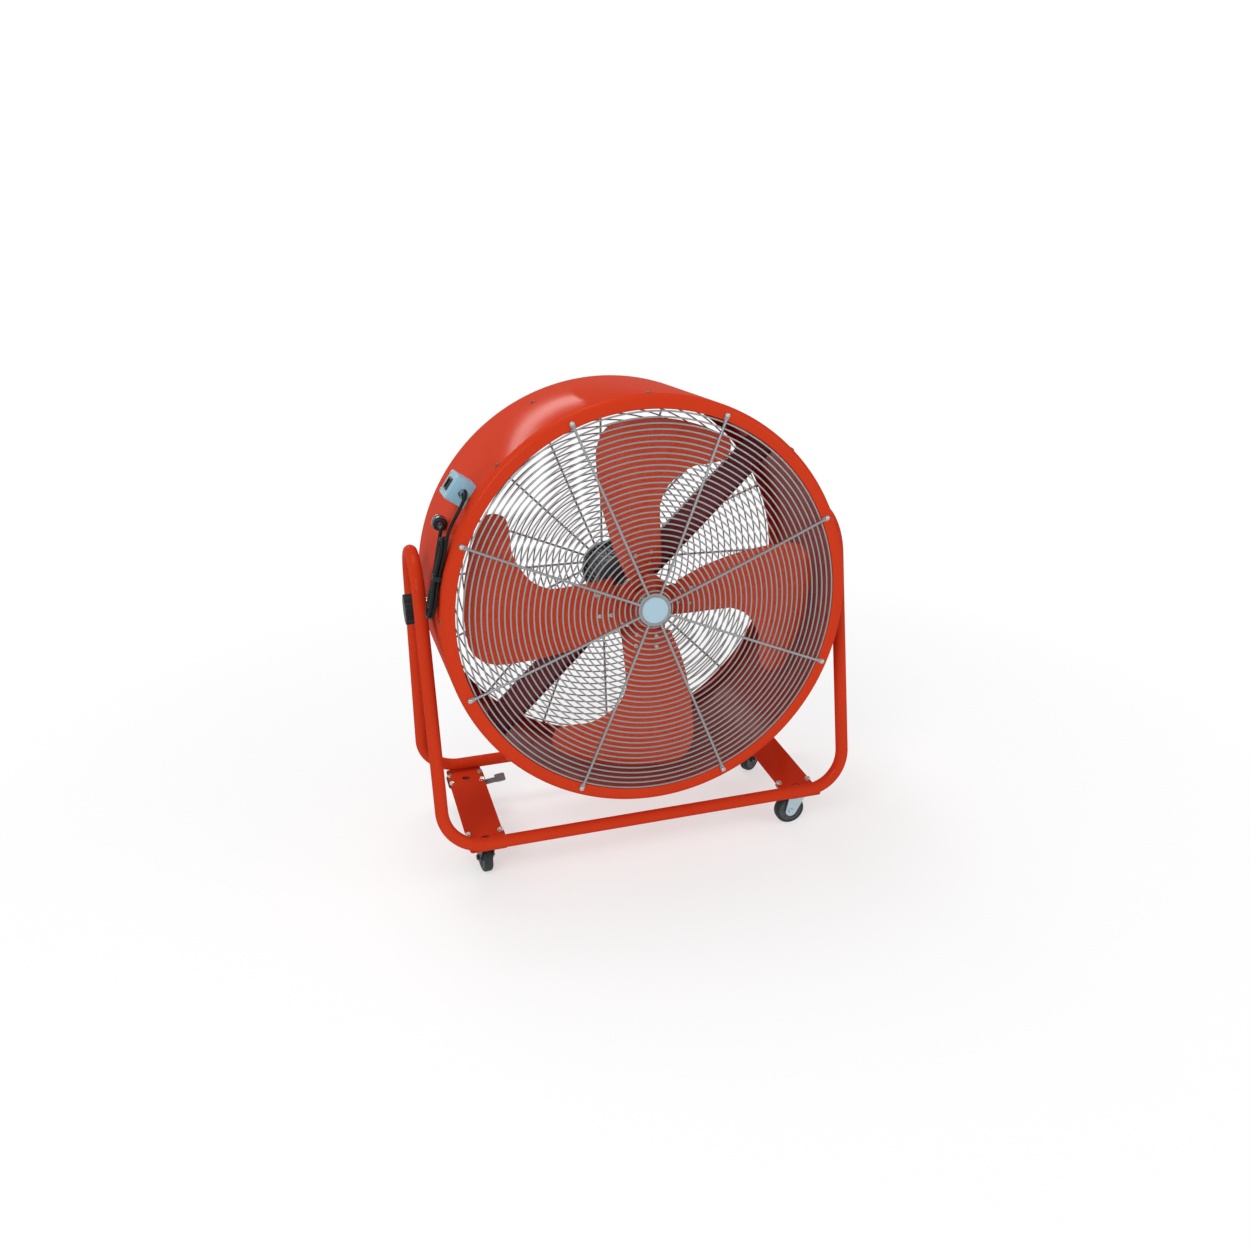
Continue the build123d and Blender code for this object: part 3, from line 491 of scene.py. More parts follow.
def make_stand():
    """Closed tube frame with its welds, straps and pivot plates."""
    lean = atan2(bar_y - leg_y_at_pivot, pivot_height - bar_z)
    apex = bar_z + bar_y / tan(lean)
    points = []
    for side in (1, -1):
        x = side * leg_x
        corners = [(0, -side * bar_y, bar_z), (x, -side * bar_y, bar_z), (x, 0, apex),
                   (x, side * bar_y, bar_z), (0, side * bar_y, bar_z)]
        for k, radius in enumerate((corner_radius, arch_radius, corner_radius)):
            points += corner_arc(*corners[k:k + 3], radius, 40 if k == 1 else 20)
    shape = Shape()
    shape.tube(points, tube_radius, 40, closed=True)
    finish_piece(shape, "stand_frame", paint, "stand",
                 ("stand_tube_left", "stand_tube_right"))
    make_welds(lean)
    for side in ("left", "right"):
        dress(f"base_strap_{side}", paint, "stand", 1.2, 3)
        dress(f"pivot_plate_{side}", paint, "stand", 1.0)


def bead(shape, start, end, radius, seed):
    """Weld bead between two points, with the ripples of its run."""
    start, end = Vector(start), Vector(end)
    count = max(6, int((end - start).length / 2))
    points = [start.lerp(end, k / count) for k in range(count + 1)]
    side = (end - start).orthogonal().normalized() * 0.25
    points = [p + side * sin(2.1 * k + seed) for k, p in enumerate(points)]
    shape.tube(points, radius, 8)


def make_welds(lean):
    """Beads where bars meet straps and where the pivot plates meet the legs."""
    shape = Shape()
    strap_run = strap_width / 2 - 4
    plate_run = pivot_plate_height / 2 - 2
    for i in (-1, 1):
        for j in (-1, 1):
            y = j * (bar_y - 5.4)
            z = strap_top + 0.8
            bead(shape, (i * strap_x - strap_run, y, z), (i * strap_x + strap_run, y, z), 2.1, j)
            for edge in (-1, 1):
                x = i * leg_x + edge * (pivot_plate_thickness / 2 + weld_sink)
                low = leg_y_at_pivot + plate_run * tan(lean) - tube_radius / cos(lean)
                high = leg_y_at_pivot - plate_run * tan(lean) - tube_radius / cos(lean)
                start = (x, j * low, pivot_height - plate_run)
                bead(shape, start, (x, j * high, pivot_height + plate_run), 1.8, i)
    finish_piece(shape, "stand_welds", paint, "stand")


def make_caster_bolts():
    """Bolt heads on the straps, with nuts and the bolts' ends below."""
    bolt = Shape()
    head = hexagon(bolt_head_radius, 30)
    washer = 1.2
    for i, j in caster_places.values():
        for x in (-caster_bolt_x, caster_bolt_x):
            for y in (-caster_bolt_y, caster_bolt_y):
                top = Matrix.Translation((i * strap_x + x, j * caster_y + y, strap_top))
                bolt.turned(disc(washer_radius, 0, washer), 24, top)
                bolt.prism(head, washer, 5.3, top)
                seat = strap_under - caster_plate_sheet
                under = Matrix.Translation((i * strap_x + x, j * caster_y + y, seat))
                bolt.turned(disc(washer_radius, -washer, 0), 24, under)
                bolt.prism(head, -6.5, -washer, under)
                bolt.turned([(0, -7.5), (3.4, -7.5), (4, -7), (4, -6), (0, -6)], 20, under)
    finish_piece(bolt, "caster_bolts_dressed", zinc, "stand", ("caster_bolts",), bevel=0.5)


# ---- casters
def caster_place(name):
    """The caster's kingpin axis at the floor, turned to its heading."""
    i, j = caster_places[name]
    heading = Matrix.Rotation(radians(caster_headings[name]), 4, "Z")
    return Matrix.Translation((i * strap_x, j * caster_y, 0)) @ heading


def make_wheel(name):
    """Tyre with a rounded tread and a moulded core with a lip, hub and webs."""
    axle = Matrix.Translation((0, trail, wheel_radius)) @ Matrix.Rotation(pi / 2, 4, "Z")
    place = caster_place(name) @ axle
    tyre = Shape()
    shoulder = wheel_radius - tread_corner
    profile = [(30, -10.2), (32.5, -11.4)] + arc((shoulder, -5.5), tread_corner, -75, 0, 8)
    profile += arc((shoulder, 5.5), tread_corner, 0, 75, 8) + [(32.5, 11.4), (30, 10.2)]
    tyre.lathe(profile, 72, place)
    finish_piece(tyre, f"tyre_{name}", rubber, f"wheel_{name}",
                 (f"caster_wheel_{name}",))
    core = Shape()
    side_profile = [(4.1, 13.6), (9.2, 13.6), (9.9, 12.6), (10.4, 9.2), (26.4, 8.2), (27, 10.6),
                    (30, 10.9), (30.6, 9.6)]
    core.lathe(side_profile + [(r, -y) for r, y in reversed(side_profile)], 64, place)
    for k in range(6):
        for side in (-1, 1):
            web = place @ Matrix.Rotation(radians(60 * k), 4, "Y")
            low, high = sorted((side * 8, side * 9.9))
            core.prism([(9.5, low), (26.8, low), (26.8, high), (9.5, high)], -1, 1, web)
    finish_piece(core, f"wheel_core_{name}", wheel_core, f"wheel_{name}", bevel=0.25)


def make_casters():
    """Four casters, the front right one bright, the rear two with pedals."""
    make_caster_bolts()
    for name in caster_places:
        # The front left caster's black stands in for shade; the rear ones are taken as black steel.
        metal = caster_zinc if name == "fr" else caster_black_and_painted_shade
        dress(f"caster_plate_{name}", metal, "stand", 0.6)
        dress(f"caster_fork_{name}", metal, f"fork_{name}", 0.5)
        make_wheel(name)
        if name.startswith("r"):
            dress(f"brake_pedal_{name}", pedal_grey, f"pedal_{name}", 0.7)


# ---- drum
def make_drum():
    """Rolled shell with rounded rims and turned-in lips."""
    half, corner = drum_half, rim_radius
    straight = half - corner
    outer_front = arc((drum_radius - corner, -straight), corner, -90, 0, 14)
    outer_rear = arc((drum_radius - corner, straight), corner, 0, 90, 14)
    inner_rear = arc((drum_radius - corner, straight), corner - sheet, 90, 0, 14)
    inner_front = arc((drum_radius - corner, -straight), corner - sheet, 0, -90, 14)
    front_lip = arc((front_bore + lip_corner, -half + lip_corner), lip_corner, 180, 270, 4)[1:]
    rear_lip = arc((rear_bore + lip_corner, half - lip_corner), lip_corner, 90, 180, 4)
    profile = [(front_bore, -half + lip_depth), (front_bore, -half + lip_corner)]
    profile += front_lip + outer_front + outer_rear
    profile += rear_lip + [(rear_bore, half - lip_depth)]
    profile += [(rear_bore + sheet, half - lip_depth), (rear_bore + sheet, half - sheet)]
    profile += inner_rear + inner_front
    profile += [(front_bore + sheet, -half + sheet), (front_bore + sheet, -half + lip_depth)]
    shape = Shape()
    shape.lathe(profile, 256)
    skin = finish_piece(shape, "drum_skin", paint, "drum", ("drum_shell",))
    paint_shade_inside(skin)


def paint_shade_inside(skin):
    """Gives the drum's inner wall a darker, duller copy of its paint; the darkness is painted shade
    inside the drum.
    """
    skin.data.materials.append(inner_painted_shade)
    axis = drum_place.to_3x3() @ Vector((0, 1, 0))
    middle = drum_place.to_translation()
    for face in skin.data.polygons:
        away = face.center - middle
        radial = away - axis * away.dot(axis)
        if face.normal.dot(radial) < 0 and radial.length > (drum_radius - sheet - 6) * MM:
            face.material_index = 1


def dome_height(r, dome, edge):
    """Height at this radius of a spherical dome that starts at its edge."""
    sphere = (edge ** 2 + dome ** 2) / (2 * dome)
    return sqrt(sphere ** 2 - r ** 2) - (sphere - dome)


def make_guard(name, rings, dome, angles, tab_radius, side, material):
    """Round rings behind round spokes, flattened at the rim into eyelet tabs."""
    first, last, count = rings
    base = drum_half + spoke / 2
    shape = Shape()
    for k in range(count):
        r = first + (last - first) * k / (count - 1)
        y = base + dome_height(r, dome, tab_radius) - spoke / 2 - wire / 2 + 1
        shape.lathe([(r + px, side * y + py) for px, py in arc((0, 0), wire / 2, 0, 315, 7)], 144)
    for angle in angles:
        points = []
        for k in range(25):
            r = spoke_start_radius + (tab_radius - spoke_past_tab - spoke_start_radius) * k / 24
            points.append((r, side * (base + dome_height(r, dome, tab_radius)), 0))
        shape.tube(points, spoke / 2, place=around(angle))
        neck = [(tab_radius - 16, side * (base - 0.4), 0), (tab_radius - 9, side * (base - 1.2), 0),
                (tab_radius - 5.5, side * (base - 1.4), 0)]
        shape.tube(neck, spoke / 2 - 0.2, place=around(angle))
        tab = Matrix.Rotation(-side * pi / 2, 4, "X")
        eyelet = arc((tab_radius, 0), tab_width / 2, -90, 90, 12)
        outline = eyelet + arc((tab_radius - 12, 0), 4.2, 90, 270, 8)
        low = drum_half + 0.05
        shape.prism(outline, low, low + tab_thickness - 0.1, around(angle) @ tab)
    rim = base + dome
    wide = guard_disc_radius
    plate = [(0, rim - 2), (wide - 1, rim - 2), (wide, rim - 1), (wide, rim + 2),
             (wide - 1, rim + spoke / 2), (0, rim + spoke / 2)]
    shape.turned(plate, 72, Matrix.Rotation(-side * pi / 2, 4, "X"))
    finish_piece(shape, f"{name}_wires", material, "drum", (name,))


def make_badge():
    """Bare domed badge with a raised grey border."""
    face = drum_half + spoke + front_dome
    shape = Shape()
    inside = badge_radius - badge_border
    profile = [(0, face), (badge_radius, face), (badge_radius, face + 1.6)]
    profile += [(badge_radius - 0.8, face + 2.6), (badge_radius - 2.4, face + 2.6),
                (badge_radius - 3.4, face + 1.5)]
    profile += [(inside * k / 8 + least_radius, face + 1.5 + 1.3 * (1 - (k / 8) ** 2))
                for k in range(8, -1, -1)]
    shape.turned(profile, 96, Matrix.Rotation(pi / 2, 4, "X"))
    badge = finish_piece(shape, "badge_face", badge_finish, "drum", ("guard_badge",))
    badge.data.materials.append(guard_coat)
    middle = drum_place @ Vector((0, -face * MM, 0))
    for panel in badge.data.polygons:
        if (panel.center - middle).length > inside * MM:
            panel.material_index = 1


def screw_head(radius, height):
    """Pan head with a cross recess."""
    head = Shape()
    profile = [(0, 0), (radius, 0), (radius, height * 0.45)]
    for a in (0.35, 0.75, 1.15):
        profile.append((radius * cos(a) * 0.98, height * 0.45 + height * 0.55 * sin(a)))
    head.turned(profile + [(0, height)], 28)
    cutter = Shape()
    for x, y in ((radius * 0.6, radius * 0.16), (radius * 0.16, radius * 0.6)):
        cutter.prism([(-x, -y), (x, -y), (x, y), (-x, y)], height * 0.45, height * 2)
    return boolean(head, cutter)


def boolean(base, cutter):
    """Base shape less the cutter, as a new shape in millimetres."""
    objects = []
    for name, shape in (("base", base), ("cutter", cutter)):
        objects.append(new_object(name, build_mesh(name, shape)))
    body, tool = objects
    cut = body.modifiers.new("cut", "BOOLEAN")
    cut.operation = "DIFFERENCE"
    cut.object = tool
    cut.solver = "EXACT"
    cut.use_self = True
    bpy.context.view_layer.update()
    result = body.evaluated_get(bpy.context.evaluated_depsgraph_get()).to_mesh()
    shape = Shape()
    shape.verts = [v.co.copy() for v in result.vertices]
    shape.faces = [list(p.vertices) for p in result.polygons]
    for thing in objects:
        bpy.data.objects.remove(thing)
    return shape


def make_drum_screws():
    """Screws of the guards and of the drum wall, each turned another way."""
    small = screw_head(radius=4.8, height=3.2)
    shape = Shape()
    front, rear = (-1, front_angles, front_tab_radius), (1, rear_angles, rear_tab_radius)
    for side, angles, radius in (front, rear):
        for k, angle in enumerate(angles):
            face = side * (drum_half + tab_thickness)
            turn = Matrix.Rotation(radians(37 * k), 4, "Z")
            outwards = Matrix.Rotation(-side * pi / 2, 4, "X") @ turn
            place = around(angle) @ Matrix.Translation((radius, face, 0)) @ outwards
            shape.add(small.verts, small.faces, place)
    finish_piece(shape, "guard_screw_heads", zinc, "drum",
                 ("front_guard_screws", "rear_guard_screws"))
    large = screw_head(radius=6, height=3.5)
    shape = Shape()
    for k, (angle, y) in enumerate(drum_screw_spots):
        outside = wall_place(angle, drum_radius, y) @ Matrix.Rotation(radians(29 * k), 4, "Z")
        shape.add(large.verts, large.faces, outside)
        shape.prism(hexagon(5.8), -sheet - 5, -sheet - 0.2, outside)
        shape.turned([(0, -8), (2.6, -8), (3, -7.5), (3, -4), (0, -4)], 16, outside)
    finish_piece(shape, "drum_screw_heads", dark_screw, "drum", ("drum_screws",))


def make_strut_bolts():
    """Bolts through the drum wall at the strut's ends, and the motor's own bolts."""
    shape = Shape()
    head = hexagon(bolt_head_radius)
    for end in (0, 180):
        for side in (-1, 1):
            angle = strut_angle + end + side * strut_bolt_turn
            place = wall_place(angle, drum_radius, strut_bolt_y)
            shape.turned(disc(strut_washer_radius, 0.1, 1.4), 28, place)
            shape.prism(head, 1.4, 5, place)
            shape.prism(head, -12.5, -6.2, place)
            shape.turned([(0, -15), (3.4, -15), (4, -14.4), (4, -12), (0, -12)], 20, place)
    across = motor_bolt_pcd_radius * cos(radians(motor_bolt_angle))
    along = motor_bolt_pcd_radius * sin(radians(motor_bolt_angle))
    for x in (-across, across):
        for z in (-along, along):
            spot = Vector((x, -2.5, z))
            place = around(strut_angle) @ Matrix.Translation(spot) @ Matrix.Rotation(pi / 2, 4, "X")
            shape.turned(disc(strut_washer_radius, 0, 1.3), 28, place)
            shape.prism(head, 1.3, 5, place)
    finish_piece(shape, "strut_bolt_heads", zinc, "drum", ("strut_bolts",), bevel=0.5)


# ---- impeller
def blade_surface_y(x, z):
    """Where the blade's rear face lies along the drum: a helix with a little camber."""
    offset = x - blade_lean * z
    camber = blade_camber * (1 - (offset / blade_half_chord) ** 2) * z / blade_reach
    return blade_middle + helix_lead / (z + helix_root) * offset + camber


def smooth_line(points, steps):
    """Smooth curve through the points."""
    points = [Vector(p) for p in points]
    ends = [points[0] * 2 - points[1]] + points + [points[-1] * 2 - points[-2]]
    line = []
    for a, b, c, d in zip(ends, ends[1:], ends[2:], ends[3:]):
        for k in range(steps):
            t = k / steps
            line.append(0.5 * (2 * b + (c - a) * t + (2 * a - 5 * b + 4 * c - d) * t * t
                               + (3 * b - a - 3 * c + d) * t ** 3))
    return line + [points[-1]]


def blade_outline():
    """The paddle's outline: trailing edge, tip arc and leading edge."""
    tip = arc((0, -3.5), blade_tip, 98, 57.6, 12)
    trailing = [(-52, 70), (-82, 150), (-103, 250), (-110, 350), (-103, 392), (-86, 418)]
    leading = [(240, 343), (226, 318), (185, 311), (142, 309), (104, 292), (72, 268), (54, 235),
               (50, 205), (54, 70)]
    return smooth_line(trailing + tip + leading, 6)


def make_blades():
    """Four paddles, meshed inside one outline and laid on the helix."""
    outline = blade_outline()
    count = len(outline)
    cell = 11
    inside = []
    for i in range(-12, 24):
        for j in range(6, 42):
            spot = Vector((i * cell + (j % 2) * cell / 2, j * cell))
            if in_outline(spot, outline) and min((spot - p).length for p in outline) > cell * 0.55:
                inside.append(spot)
    spots = [Vector(p) for p in outline] + inside
    verts, _, faces, *_ = delaunay_2d_cdt(spots, [], [list(range(count))], 1, 1e-5)
    for number in range(4):
        shape = Shape()
        sheet_verts = [(v.x, blade_surface_y(v.x, v.y), v.y) for v in verts]
        shape.add(sheet_verts, faces, around(-90 * number))
        piece = finish_piece(shape, f"blade_{number + 1}_sheet", fan_paint, "impeller",
                             (f"blade_{number + 1}",), angle=60)
        thicken(piece)


def thicken(piece):
    """Gives the blade its sheet thickness towards the front, with rounded edges."""
    mesh = piece.data
    front = drum_place.to_3x3() @ Vector((0, -1, 0))
    facing = sum(p.normal.dot(front) * p.area for p in mesh.polygons) > 0
    solid = piece.modifiers.new("sheet", "SOLIDIFY")
    solid.thickness = blade_thickness * MM
    solid.offset = 1 if facing else -1
    round_edges(piece, 1.1, 3, 50)


def in_outline(spot, outline):
    """Whether a point lies inside the closed outline."""
    inside = False
    for a, b in zip(outline, outline[1:] + outline[:1]):
        if (a.y > spot.y) != (b.y > spot.y):
            if spot.x < (b.x - a.x) * (spot.y - a.y) / (b.y - a.y) + a.x:
                inside = not inside
    return inside


def make_impeller():
    """Blades, hub, rivets, nut and shaft; the rotor stays as its CAD node."""
    make_blades()
    dress("impeller_hub", fan_paint, "impeller", 1.0, 3)
    dress("shaft_nut", zinc, "impeller", 0.6)
    dress("blade_rivets", zinc, "impeller", 0.3)
    dress("motor_shaft", steel, "impeller", 0.8)
    nodes["motor_rotor"].data.materials.clear()
    nodes["motor_rotor"].data.materials.append(iron)


# ---- motor and switch box
def make_motor():
    """Strut and the motor's casings; the stator stays as its CAD node."""
    # The strut takes the darkened paint, which stands in for its shade.
    dress("motor_strut", strut_painted_shade, "drum", 1.2, 3)
    dress("motor_front_cover", motor_paint, "drum", 1.0)
    dress("motor_housing", motor_paint, "drum", 0.5)
    dress("motor_rear_cover", motor_paint, "drum", 1.0)
    dress("motor_bearings", steel, "drum", 0.6)
    nodes["motor_stator"].data.materials.clear()
    nodes["motor_stator"].data.materials.append(iron)


def make_switch():
    """Switch box with its cover, bezel, rocker and screws."""
    dress("switch_box", box_plastic, "drum", 0.8, 3)
    dress("switch_cover", box_plastic, "drum", 0.8, 3)
    dress("switch_bezel", switch_black, "drum", 0.6)
    dress("rocker_switch", rocker_red, "rocker", 0.9, 3)
    small = screw_head(radius=3.6, height=2.2)
    shape = Shape()
    top = drum_radius + box_height + cover_height
    for x in (-cover_screw_x, cover_screw_x):
        for y in (-cover_screw_y, cover_screw_y):
            place = wall_place(box_angle, top, box_middle_y) @ Matrix.Translation((x, y, 0))
            shape.add(small.verts, small.faces, place @ Matrix.Rotation(radians(x + y), 4, "Z"))
    finish_piece(shape, "switch_screw_heads", zinc, "drum", ("switch_screws",))


def make_pivots():
    """Pivot bosses and the knobs that clamp them."""
    for side in ("left", "right"):
        dress(f"pivot_boss_{side}", zinc, "drum", 0.8)
        dress(f"tilt_knob_{side}", knob_black, f"knob_{side}", 1.6, 3)


# ---- cord
hank_angle = 166
hank_middle_y = -183
hank_slope = -4
hank_half_run = 74
hank_wide = (11, 23)
hank_inner_turn = 12
hank_entry = 14
hank_exit = 6
tie_sheet = 1.6
tie_slack = 0.6
tie_width = 12
lead_forward = 26
lead_drop = 30
tail_rise = 28
tail_straight = 14
plug_angle = 154.5
plug_axis_radius = 516.8
plug_start_y = -112
plug_neck = 14
plug_size = (34, 32, 32)
plug_corner = 12


def hank_frame():
    """The hank's own frame: X towards the drum's front, Y up its length, Z off the wall."""
    outwards = wall_point(hank_angle, 1, 0)
    stand_off = cord_pitch / 2 + cord_diameter / 2 + tie_sheet + tie_slack
    across = Matrix.Rotation(radians(hank_slope), 3, outwards) @ Vector((0, -1, 0))
    middle = wall_point(hank_angle, drum_radius + stand_off, hank_middle_y)
    return frame_at(middle, across, outwards)


def hank_points():
    """Control points of the hank: runs drawn in at the tie, half turns at the ends."""
    nests = ((1, -1), (0, -1), (0, 1), (1, 1))
    columns = [(side, nest, layer) for nest, layer in nests for side in (1, -1)]
    inner = hank_half_run - hank_inner_turn
    turns = [inner if a[1] == b[1] == 0 else hank_half_run for a, b in zip(columns, columns[1:])]
    reaches = [hank_half_run + hank_entry] + turns + [hank_half_run + hank_exit]
    points = []
    for k, (side, nest, layer) in enumerate(columns):
        way = -1 if k % 2 == 0 else 1
        wide, waist = side * hank_wide[nest], side * cord_pitch * (nest + 0.5)
        z = layer * cord_pitch / 2
        start, end = -way * reaches[k], way * reaches[k + 1]
        if k == 0:
            points.append(Vector((wide, start, z)))
            start = -way * hank_half_run
        points.append(Vector((wide, start, z)))
        points.append(Vector((wide, start * 0.68, z)))
        points += [Vector((waist, y, z)) for y in (start * 0.3, start * 0.1, end * 0.1, end * 0.3)]
        points.append(Vector((wide, end * 0.68, z)))
        points.append(Vector((wide, end, z)))
        if k + 1 < len(columns):
            next_side, next_nest, next_layer = columns[k + 1]
            other = next_side * hank_wide[next_nest]
            middle, radius = (wide + other) / 2, 1.04 * (wide - other) / 2
            for step in range(1, 6):
                a = pi * step / 6
                climb = (next_layer - layer) / 2 * (1 - cos(a)) / 2 * cord_pitch
                along = end + way * abs(radius) * sin(a)
                points.append(Vector((middle + radius * cos(a), along, z + climb)))
    return points


def cord_route():
    """Control points of the whole cord: gland, drum wall, hank and plug."""
    hank = hank_frame()
    mouth_y = box_middle_y - box_length / 2 - gland_length
    mouth = wall_point(box_angle, drum_radius + gland_height, mouth_y)
    entry = hank @ Vector((hank_wide[1], hank_half_run + hank_entry + lead_drop, -cord_pitch / 2))
    lead = [mouth, mouth + Vector((0, -lead_forward, 0)), entry]
    stop = hank @ Vector((-hank_wide[1], hank_half_run + hank_exit, cord_pitch / 2))
    rise = hank @ Vector((-hank_wide[1], hank_half_run + hank_exit + tail_rise, cord_pitch / 2))
    plug = wall_point(plug_angle, plug_axis_radius, plug_start_y)
    tail = [stop, rise, plug - Vector((0, tail_straight, 0)), plug]
    return lead + [hank @ p for p in hank_points()] + tail


def make_cord():
    """The cord as one curve, with its plug, pins and tie."""
    route = [drum_place @ (p * MM) for p in cord_route()]
    curve = bpy.data.curves.new("supply_cord", "CURVE")
    curve.dimensions = "3D"
    spline = curve.splines.new("NURBS")
    spline.points.add(len(route) - 1)
    for point, place in zip(spline.points, route):
        point.co = (*place, 1)
    spline.order_u = 3
    spline.use_endpoint_u = True
    spline.resolution_u = 8
    curve.bevel_depth = cord_diameter / 2 * MM
    curve.bevel_resolution = 6
    curve.use_fill_caps = True
    curve.materials.append(cord_black)
    piece = new_object("supply_cord", curve)
    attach(piece, "drum")
    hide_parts("cord_lead", "cord_tail", "cord_hank")
    plug = make_plug()
    pins = dress("plug_pins", brass, "drum", 0.2)
    tie = make_tie()


def plug_place():
    """The plug's frame: X along the rim, Z along the plug's axis to the drum's rear."""
    start = wall_point(plug_angle, plug_axis_radius, plug_start_y)
    return frame_at(start, wall_point(plug_angle + 90, 1, 0), Vector((0, 1, 0)))


def make_plug():
    """Moulded plug with a ribbed neck, grip ridges and a face flange."""
    shape = Shape()
    neck = [(0, -6), (4.4, -6), (4.8, -5)]
    for k in range(5):
        r, z = 5.2 + 0.6 * k, -4 + 3.6 * k
        neck += [(r, z), (r, z + 2), (r - 0.9, z + 2.4), (r - 0.9, z + 3.4)]
    shape.turned(neck + [(8.6, 14.5), (0, 14.5)], 32, plug_place())
    wide, deep, long = plug_size
    face = plug_neck + long
    steps = ((plug_neck, plug_neck + 5, 0.8), (plug_neck + 5, face - 6, 0.93), (face - 6, face, 1.0))
    for low, high, scale in steps:
        outline = [(x * scale, y * scale) for x, y in rounded_rectangle(wide, deep, plug_corner)]
        shape.prism(outline, low, high, plug_place())
    for k in range(5):
        for side in (-1, 1):
            y = side * 14.6
            low, high = sorted((y, y + side * 1.0))
            ridge = [(-10, low), (10, low), (10, high), (-10, high)]
            shape.prism(ridge, 21 + 3.6 * k, 22.8 + 3.6 * k, plug_place())
    return finish_piece(shape, "plug_body", plug_black, "drum", ("plug",), bevel=0.7)


def make_tie():
    """Strap round the hank's waist."""
    width = 3 * cord_pitch + cord_diameter + 1
    height = cord_pitch + cord_diameter + tie_slack
    shape = Shape()
    turn = hank_frame() @ Matrix.Rotation(pi / 2, 4, "X")
    outer = rounded_rectangle(width + 2 * tie_sheet, height + 2 * tie_sheet, 4)
    inner = rounded_rectangle(width, height, 3)
    count = len(outer)
    half = tie_width / 2
    verts = [(x, y, z) for z in (-half, half) for ring in (outer, inner) for x, y in ring]
    faces = []
    for k in range(count):
        n = (k + 1) % count
        a, b, c, d = 0, count, 2 * count, 3 * count
        faces += [(a + k, a + n, c + n, c + k), (b + n, b + k, d + k, d + n),
                  (a + n, a + k, b + k, b + n), (c + k, c + n, d + n, d + k)]
    shape.add(verts, faces, turn)
    return finish_piece(shape, "cord_tie_strap", tie_black, "drum", ("cord_tie",),
                        bevel=0.3)


def add_sleeve(shape):
    """Ribbed, tapering sleeve that follows the cord out of the gland."""
    start, knee, later = cord_route()[:3]
    after = (knee + later) / 2
    points, radii = [], []
    for k in range(19):
        t = 0.5 * k / 18
        points.append(start * (1 - t) ** 2 + knee * 2 * t * (1 - t) + after * t * t)
        radii.append(7.2 - 0.15 * k - 0.5 * (k % 2))
    shape.tube(points, radii, 24)


def make_gland():
    """Hexagon body, ribbed dome nut and the soft sleeve on the cord."""
    y = box_middle_y - box_length / 2
    place = wall_place(box_angle, drum_radius + gland_height, y) @ Matrix.Rotation(pi / 2, 4, "X")
    shape = Shape()
    shape.prism(hexagon(12.7), 0, 6, place)
    ribbed = []
    for k in range(36):
        radius = 9.6 if k % 2 else 9.0
        ribbed.append((radius * cos(2 * pi * k / 36), radius * sin(2 * pi * k / 36)))
    shape.prism(ribbed, 5.5, 13, place)
    shape.turned([(0, 12), (9, 12), (8.8, 15), (7.8, gland_length), (0, gland_length)], 36, place)
    add_sleeve(shape)
    finish_piece(shape, "gland_nut", gland_black, "drum", ("cable_gland",), bevel=0.4)


# ---- stage
# The stage's lengths are in metres.
floor_corners = [(-14, -10, 0), (14, -10, 0), (14, 24, 0), (-14, 24, 0)]
fade_start = 0.7
fade_end = 2.0
surround_light = 0.48
lamps_target = (0, 0, 0.6)


def make_stage():
    """Pale floor that fades to white, soft lamps and a white surround."""
    mesh = bpy.data.meshes.new("floor")
    mesh.from_pydata(floor_corners, [], [(0, 1, 2, 3)])
    floor = new_object("floor", mesh)
    material = bpy.data.materials.new("pale_floor")
    material.use_nodes = True
    tree = material.node_tree
    tree.nodes.clear()
    output = tree.nodes.new("ShaderNodeOutputMaterial")
    near = new_node(tree, "BsdfDiffuse", {"Color": (0.93, 0.93, 0.93, 1)})
    far = new_node(tree, "Emission", {"Color": (1, 1, 1, 1), "Strength": 1.0})
    mix = tree.nodes.new("ShaderNodeMixShader")
    geometry = tree.nodes.new("ShaderNodeTexCoord")
    length = tree.nodes.new("ShaderNodeVectorMath")
    length.operation = "LENGTH"
    link(tree, geometry.outputs["Object"], length.inputs[0])
    fade = spread(tree, length.outputs["Value"], 0.55, 1, fade_start, fade_end)
    link(tree, fade, mix.inputs["Fac"])
    link(tree, near.outputs["BSDF"], mix.inputs[1])
    link(tree, far.outputs["Emission"], mix.inputs[2])
    link(tree, mix.outputs["Shader"], output.inputs["Surface"])
    mesh.materials.append(material)
    make_world()
    add_lamp("key", (-2.6, -3.4, 3.6), (2.2, 2.2), 110)
    add_lamp("fill", (3.2, -2.6, 2.4), (2.4, 2.4), 45)
    add_lamp("top", (-0.6, 1.0, 4.0), (1.6, 1.6), 45)
    add_lamp("streak", (-0.5, 4.2, 1.9), (2.0, 0.2), 16)


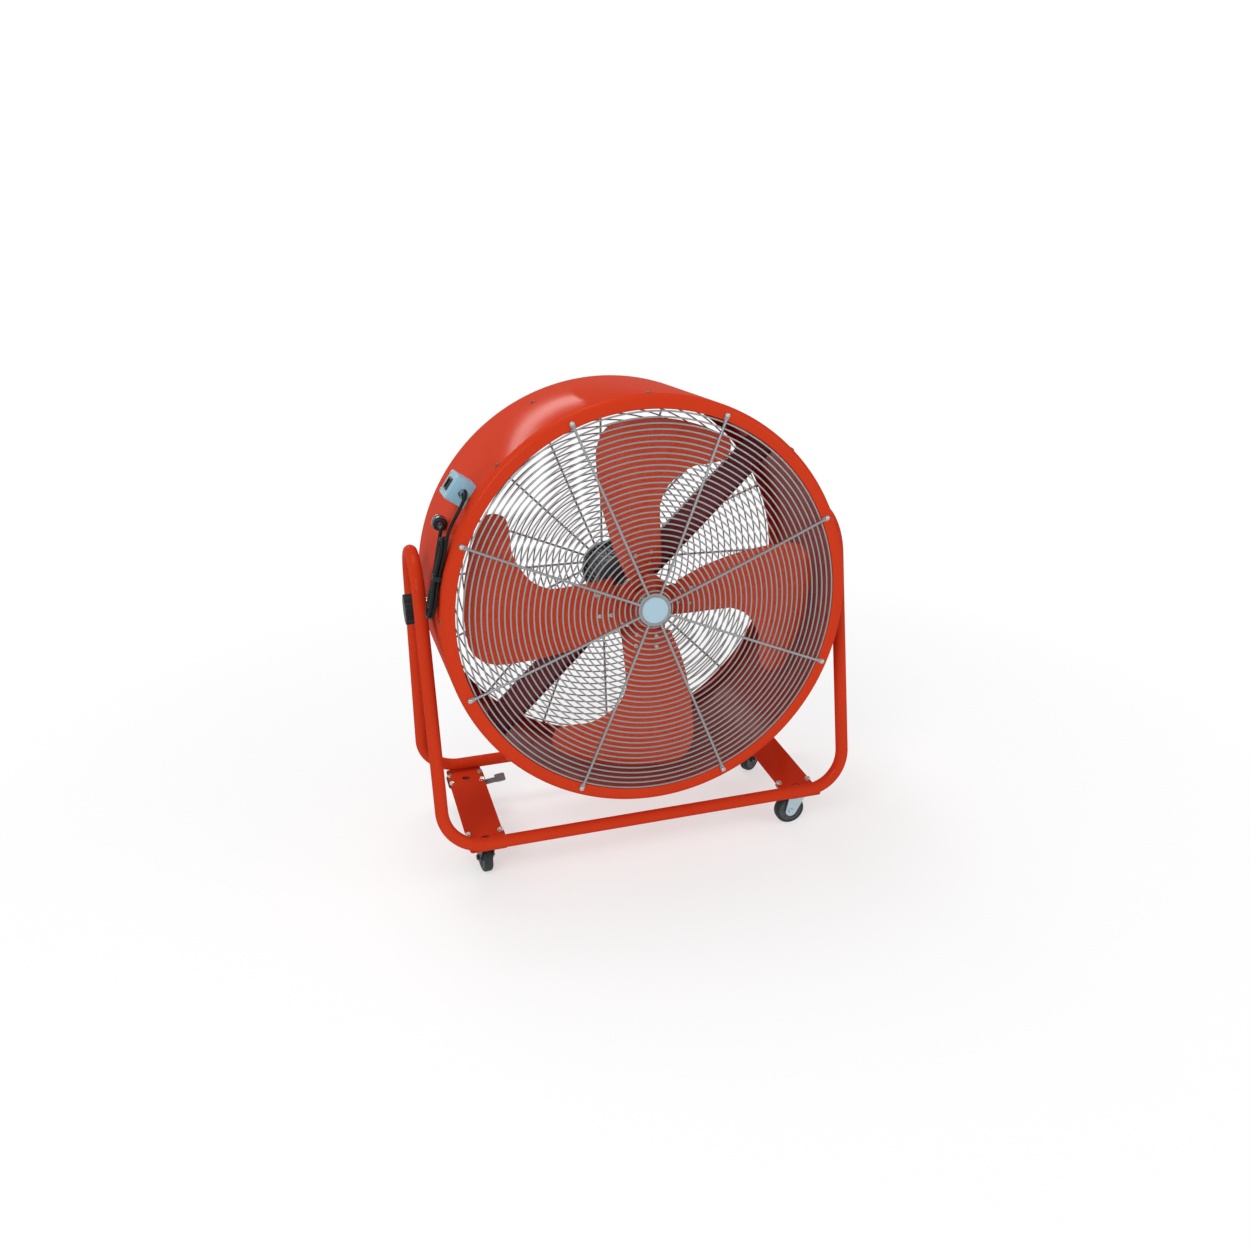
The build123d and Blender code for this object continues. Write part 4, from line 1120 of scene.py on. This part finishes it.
def add_lamp(name, place, size, power):
    """Area lamp that faces the object and isn't seen itself."""
    data = bpy.data.lights.new(name, "AREA")
    data.shape = "RECTANGLE"
    data.size, data.size_y = size
    data.energy = power
    lamp = new_object(name, data)
    way = Vector(lamps_target) - Vector(place)
    turn = way.to_track_quat("-Z", "Y").to_matrix().to_4x4()
    lamp.matrix_world = Matrix.Translation(place) @ turn
    lamp.visible_camera = False


def background(tree, strength):
    """White light of this strength."""
    node = new_node(tree, "Background", {"Color": (1, 1, 1, 1), "Strength": strength})
    return node.outputs["Background"]


def math_node(tree, operation, a, b):
    """Math node of two values."""
    node = tree.nodes.new("ShaderNodeMath")
    node.operation = operation
    link(tree, a, node.inputs[0])
    link(tree, b, node.inputs[1])
    return node.outputs["Value"]


def make_world():
    """White background, also low in reflections, with a softer surround that lights the object."""
    world = bpy.data.worlds.new("surround")
    bpy.context.scene.world = world
    world.use_nodes = True
    tree = world.node_tree
    tree.nodes.clear()
    output = tree.nodes.new("ShaderNodeOutputWorld")
    path = tree.nodes.new("ShaderNodeLightPath").outputs
    direction = tree.nodes.new("ShaderNodeSeparateXYZ")
    generated = tree.nodes.new("ShaderNodeTexCoord").outputs["Generated"]
    link(tree, generated, direction.inputs["Vector"])
    low = spread(tree, direction.outputs["Z"], 1, 0, 0.06, 0.16)
    mirrored = math_node(tree, "MAXIMUM", path["Is Glossy Ray"], path["Is Transmission Ray"])
    mirrored_low = math_node(tree, "MULTIPLY", mirrored, low)
    shown = math_node(tree, "MAXIMUM", path["Is Camera Ray"], mirrored_low)
    mix = tree.nodes.new("ShaderNodeMixShader")
    link(tree, shown, mix.inputs["Fac"])
    link(tree, background(tree, surround_light), mix.inputs[1])
    link(tree, background(tree, 1.0), mix.inputs[2])
    link(tree, mix.outputs["Shader"], output.inputs["Surface"])


bpy.context.scene.view_settings.view_transform = "Standard"
make_camera()
make_cord()
make_stand()
make_casters()
make_drum()
make_guard("front_guard", front_rings, front_dome, front_angles, front_tab_radius, -1, guard_coat)
make_guard("rear_guard", rear_rings, rear_dome, rear_angles, rear_tab_radius, 1, rear_coat)
make_badge()
make_drum_screws()
make_strut_bolts()
make_impeller()
make_motor()
make_switch()
make_gland()
make_pivots()
make_stage()
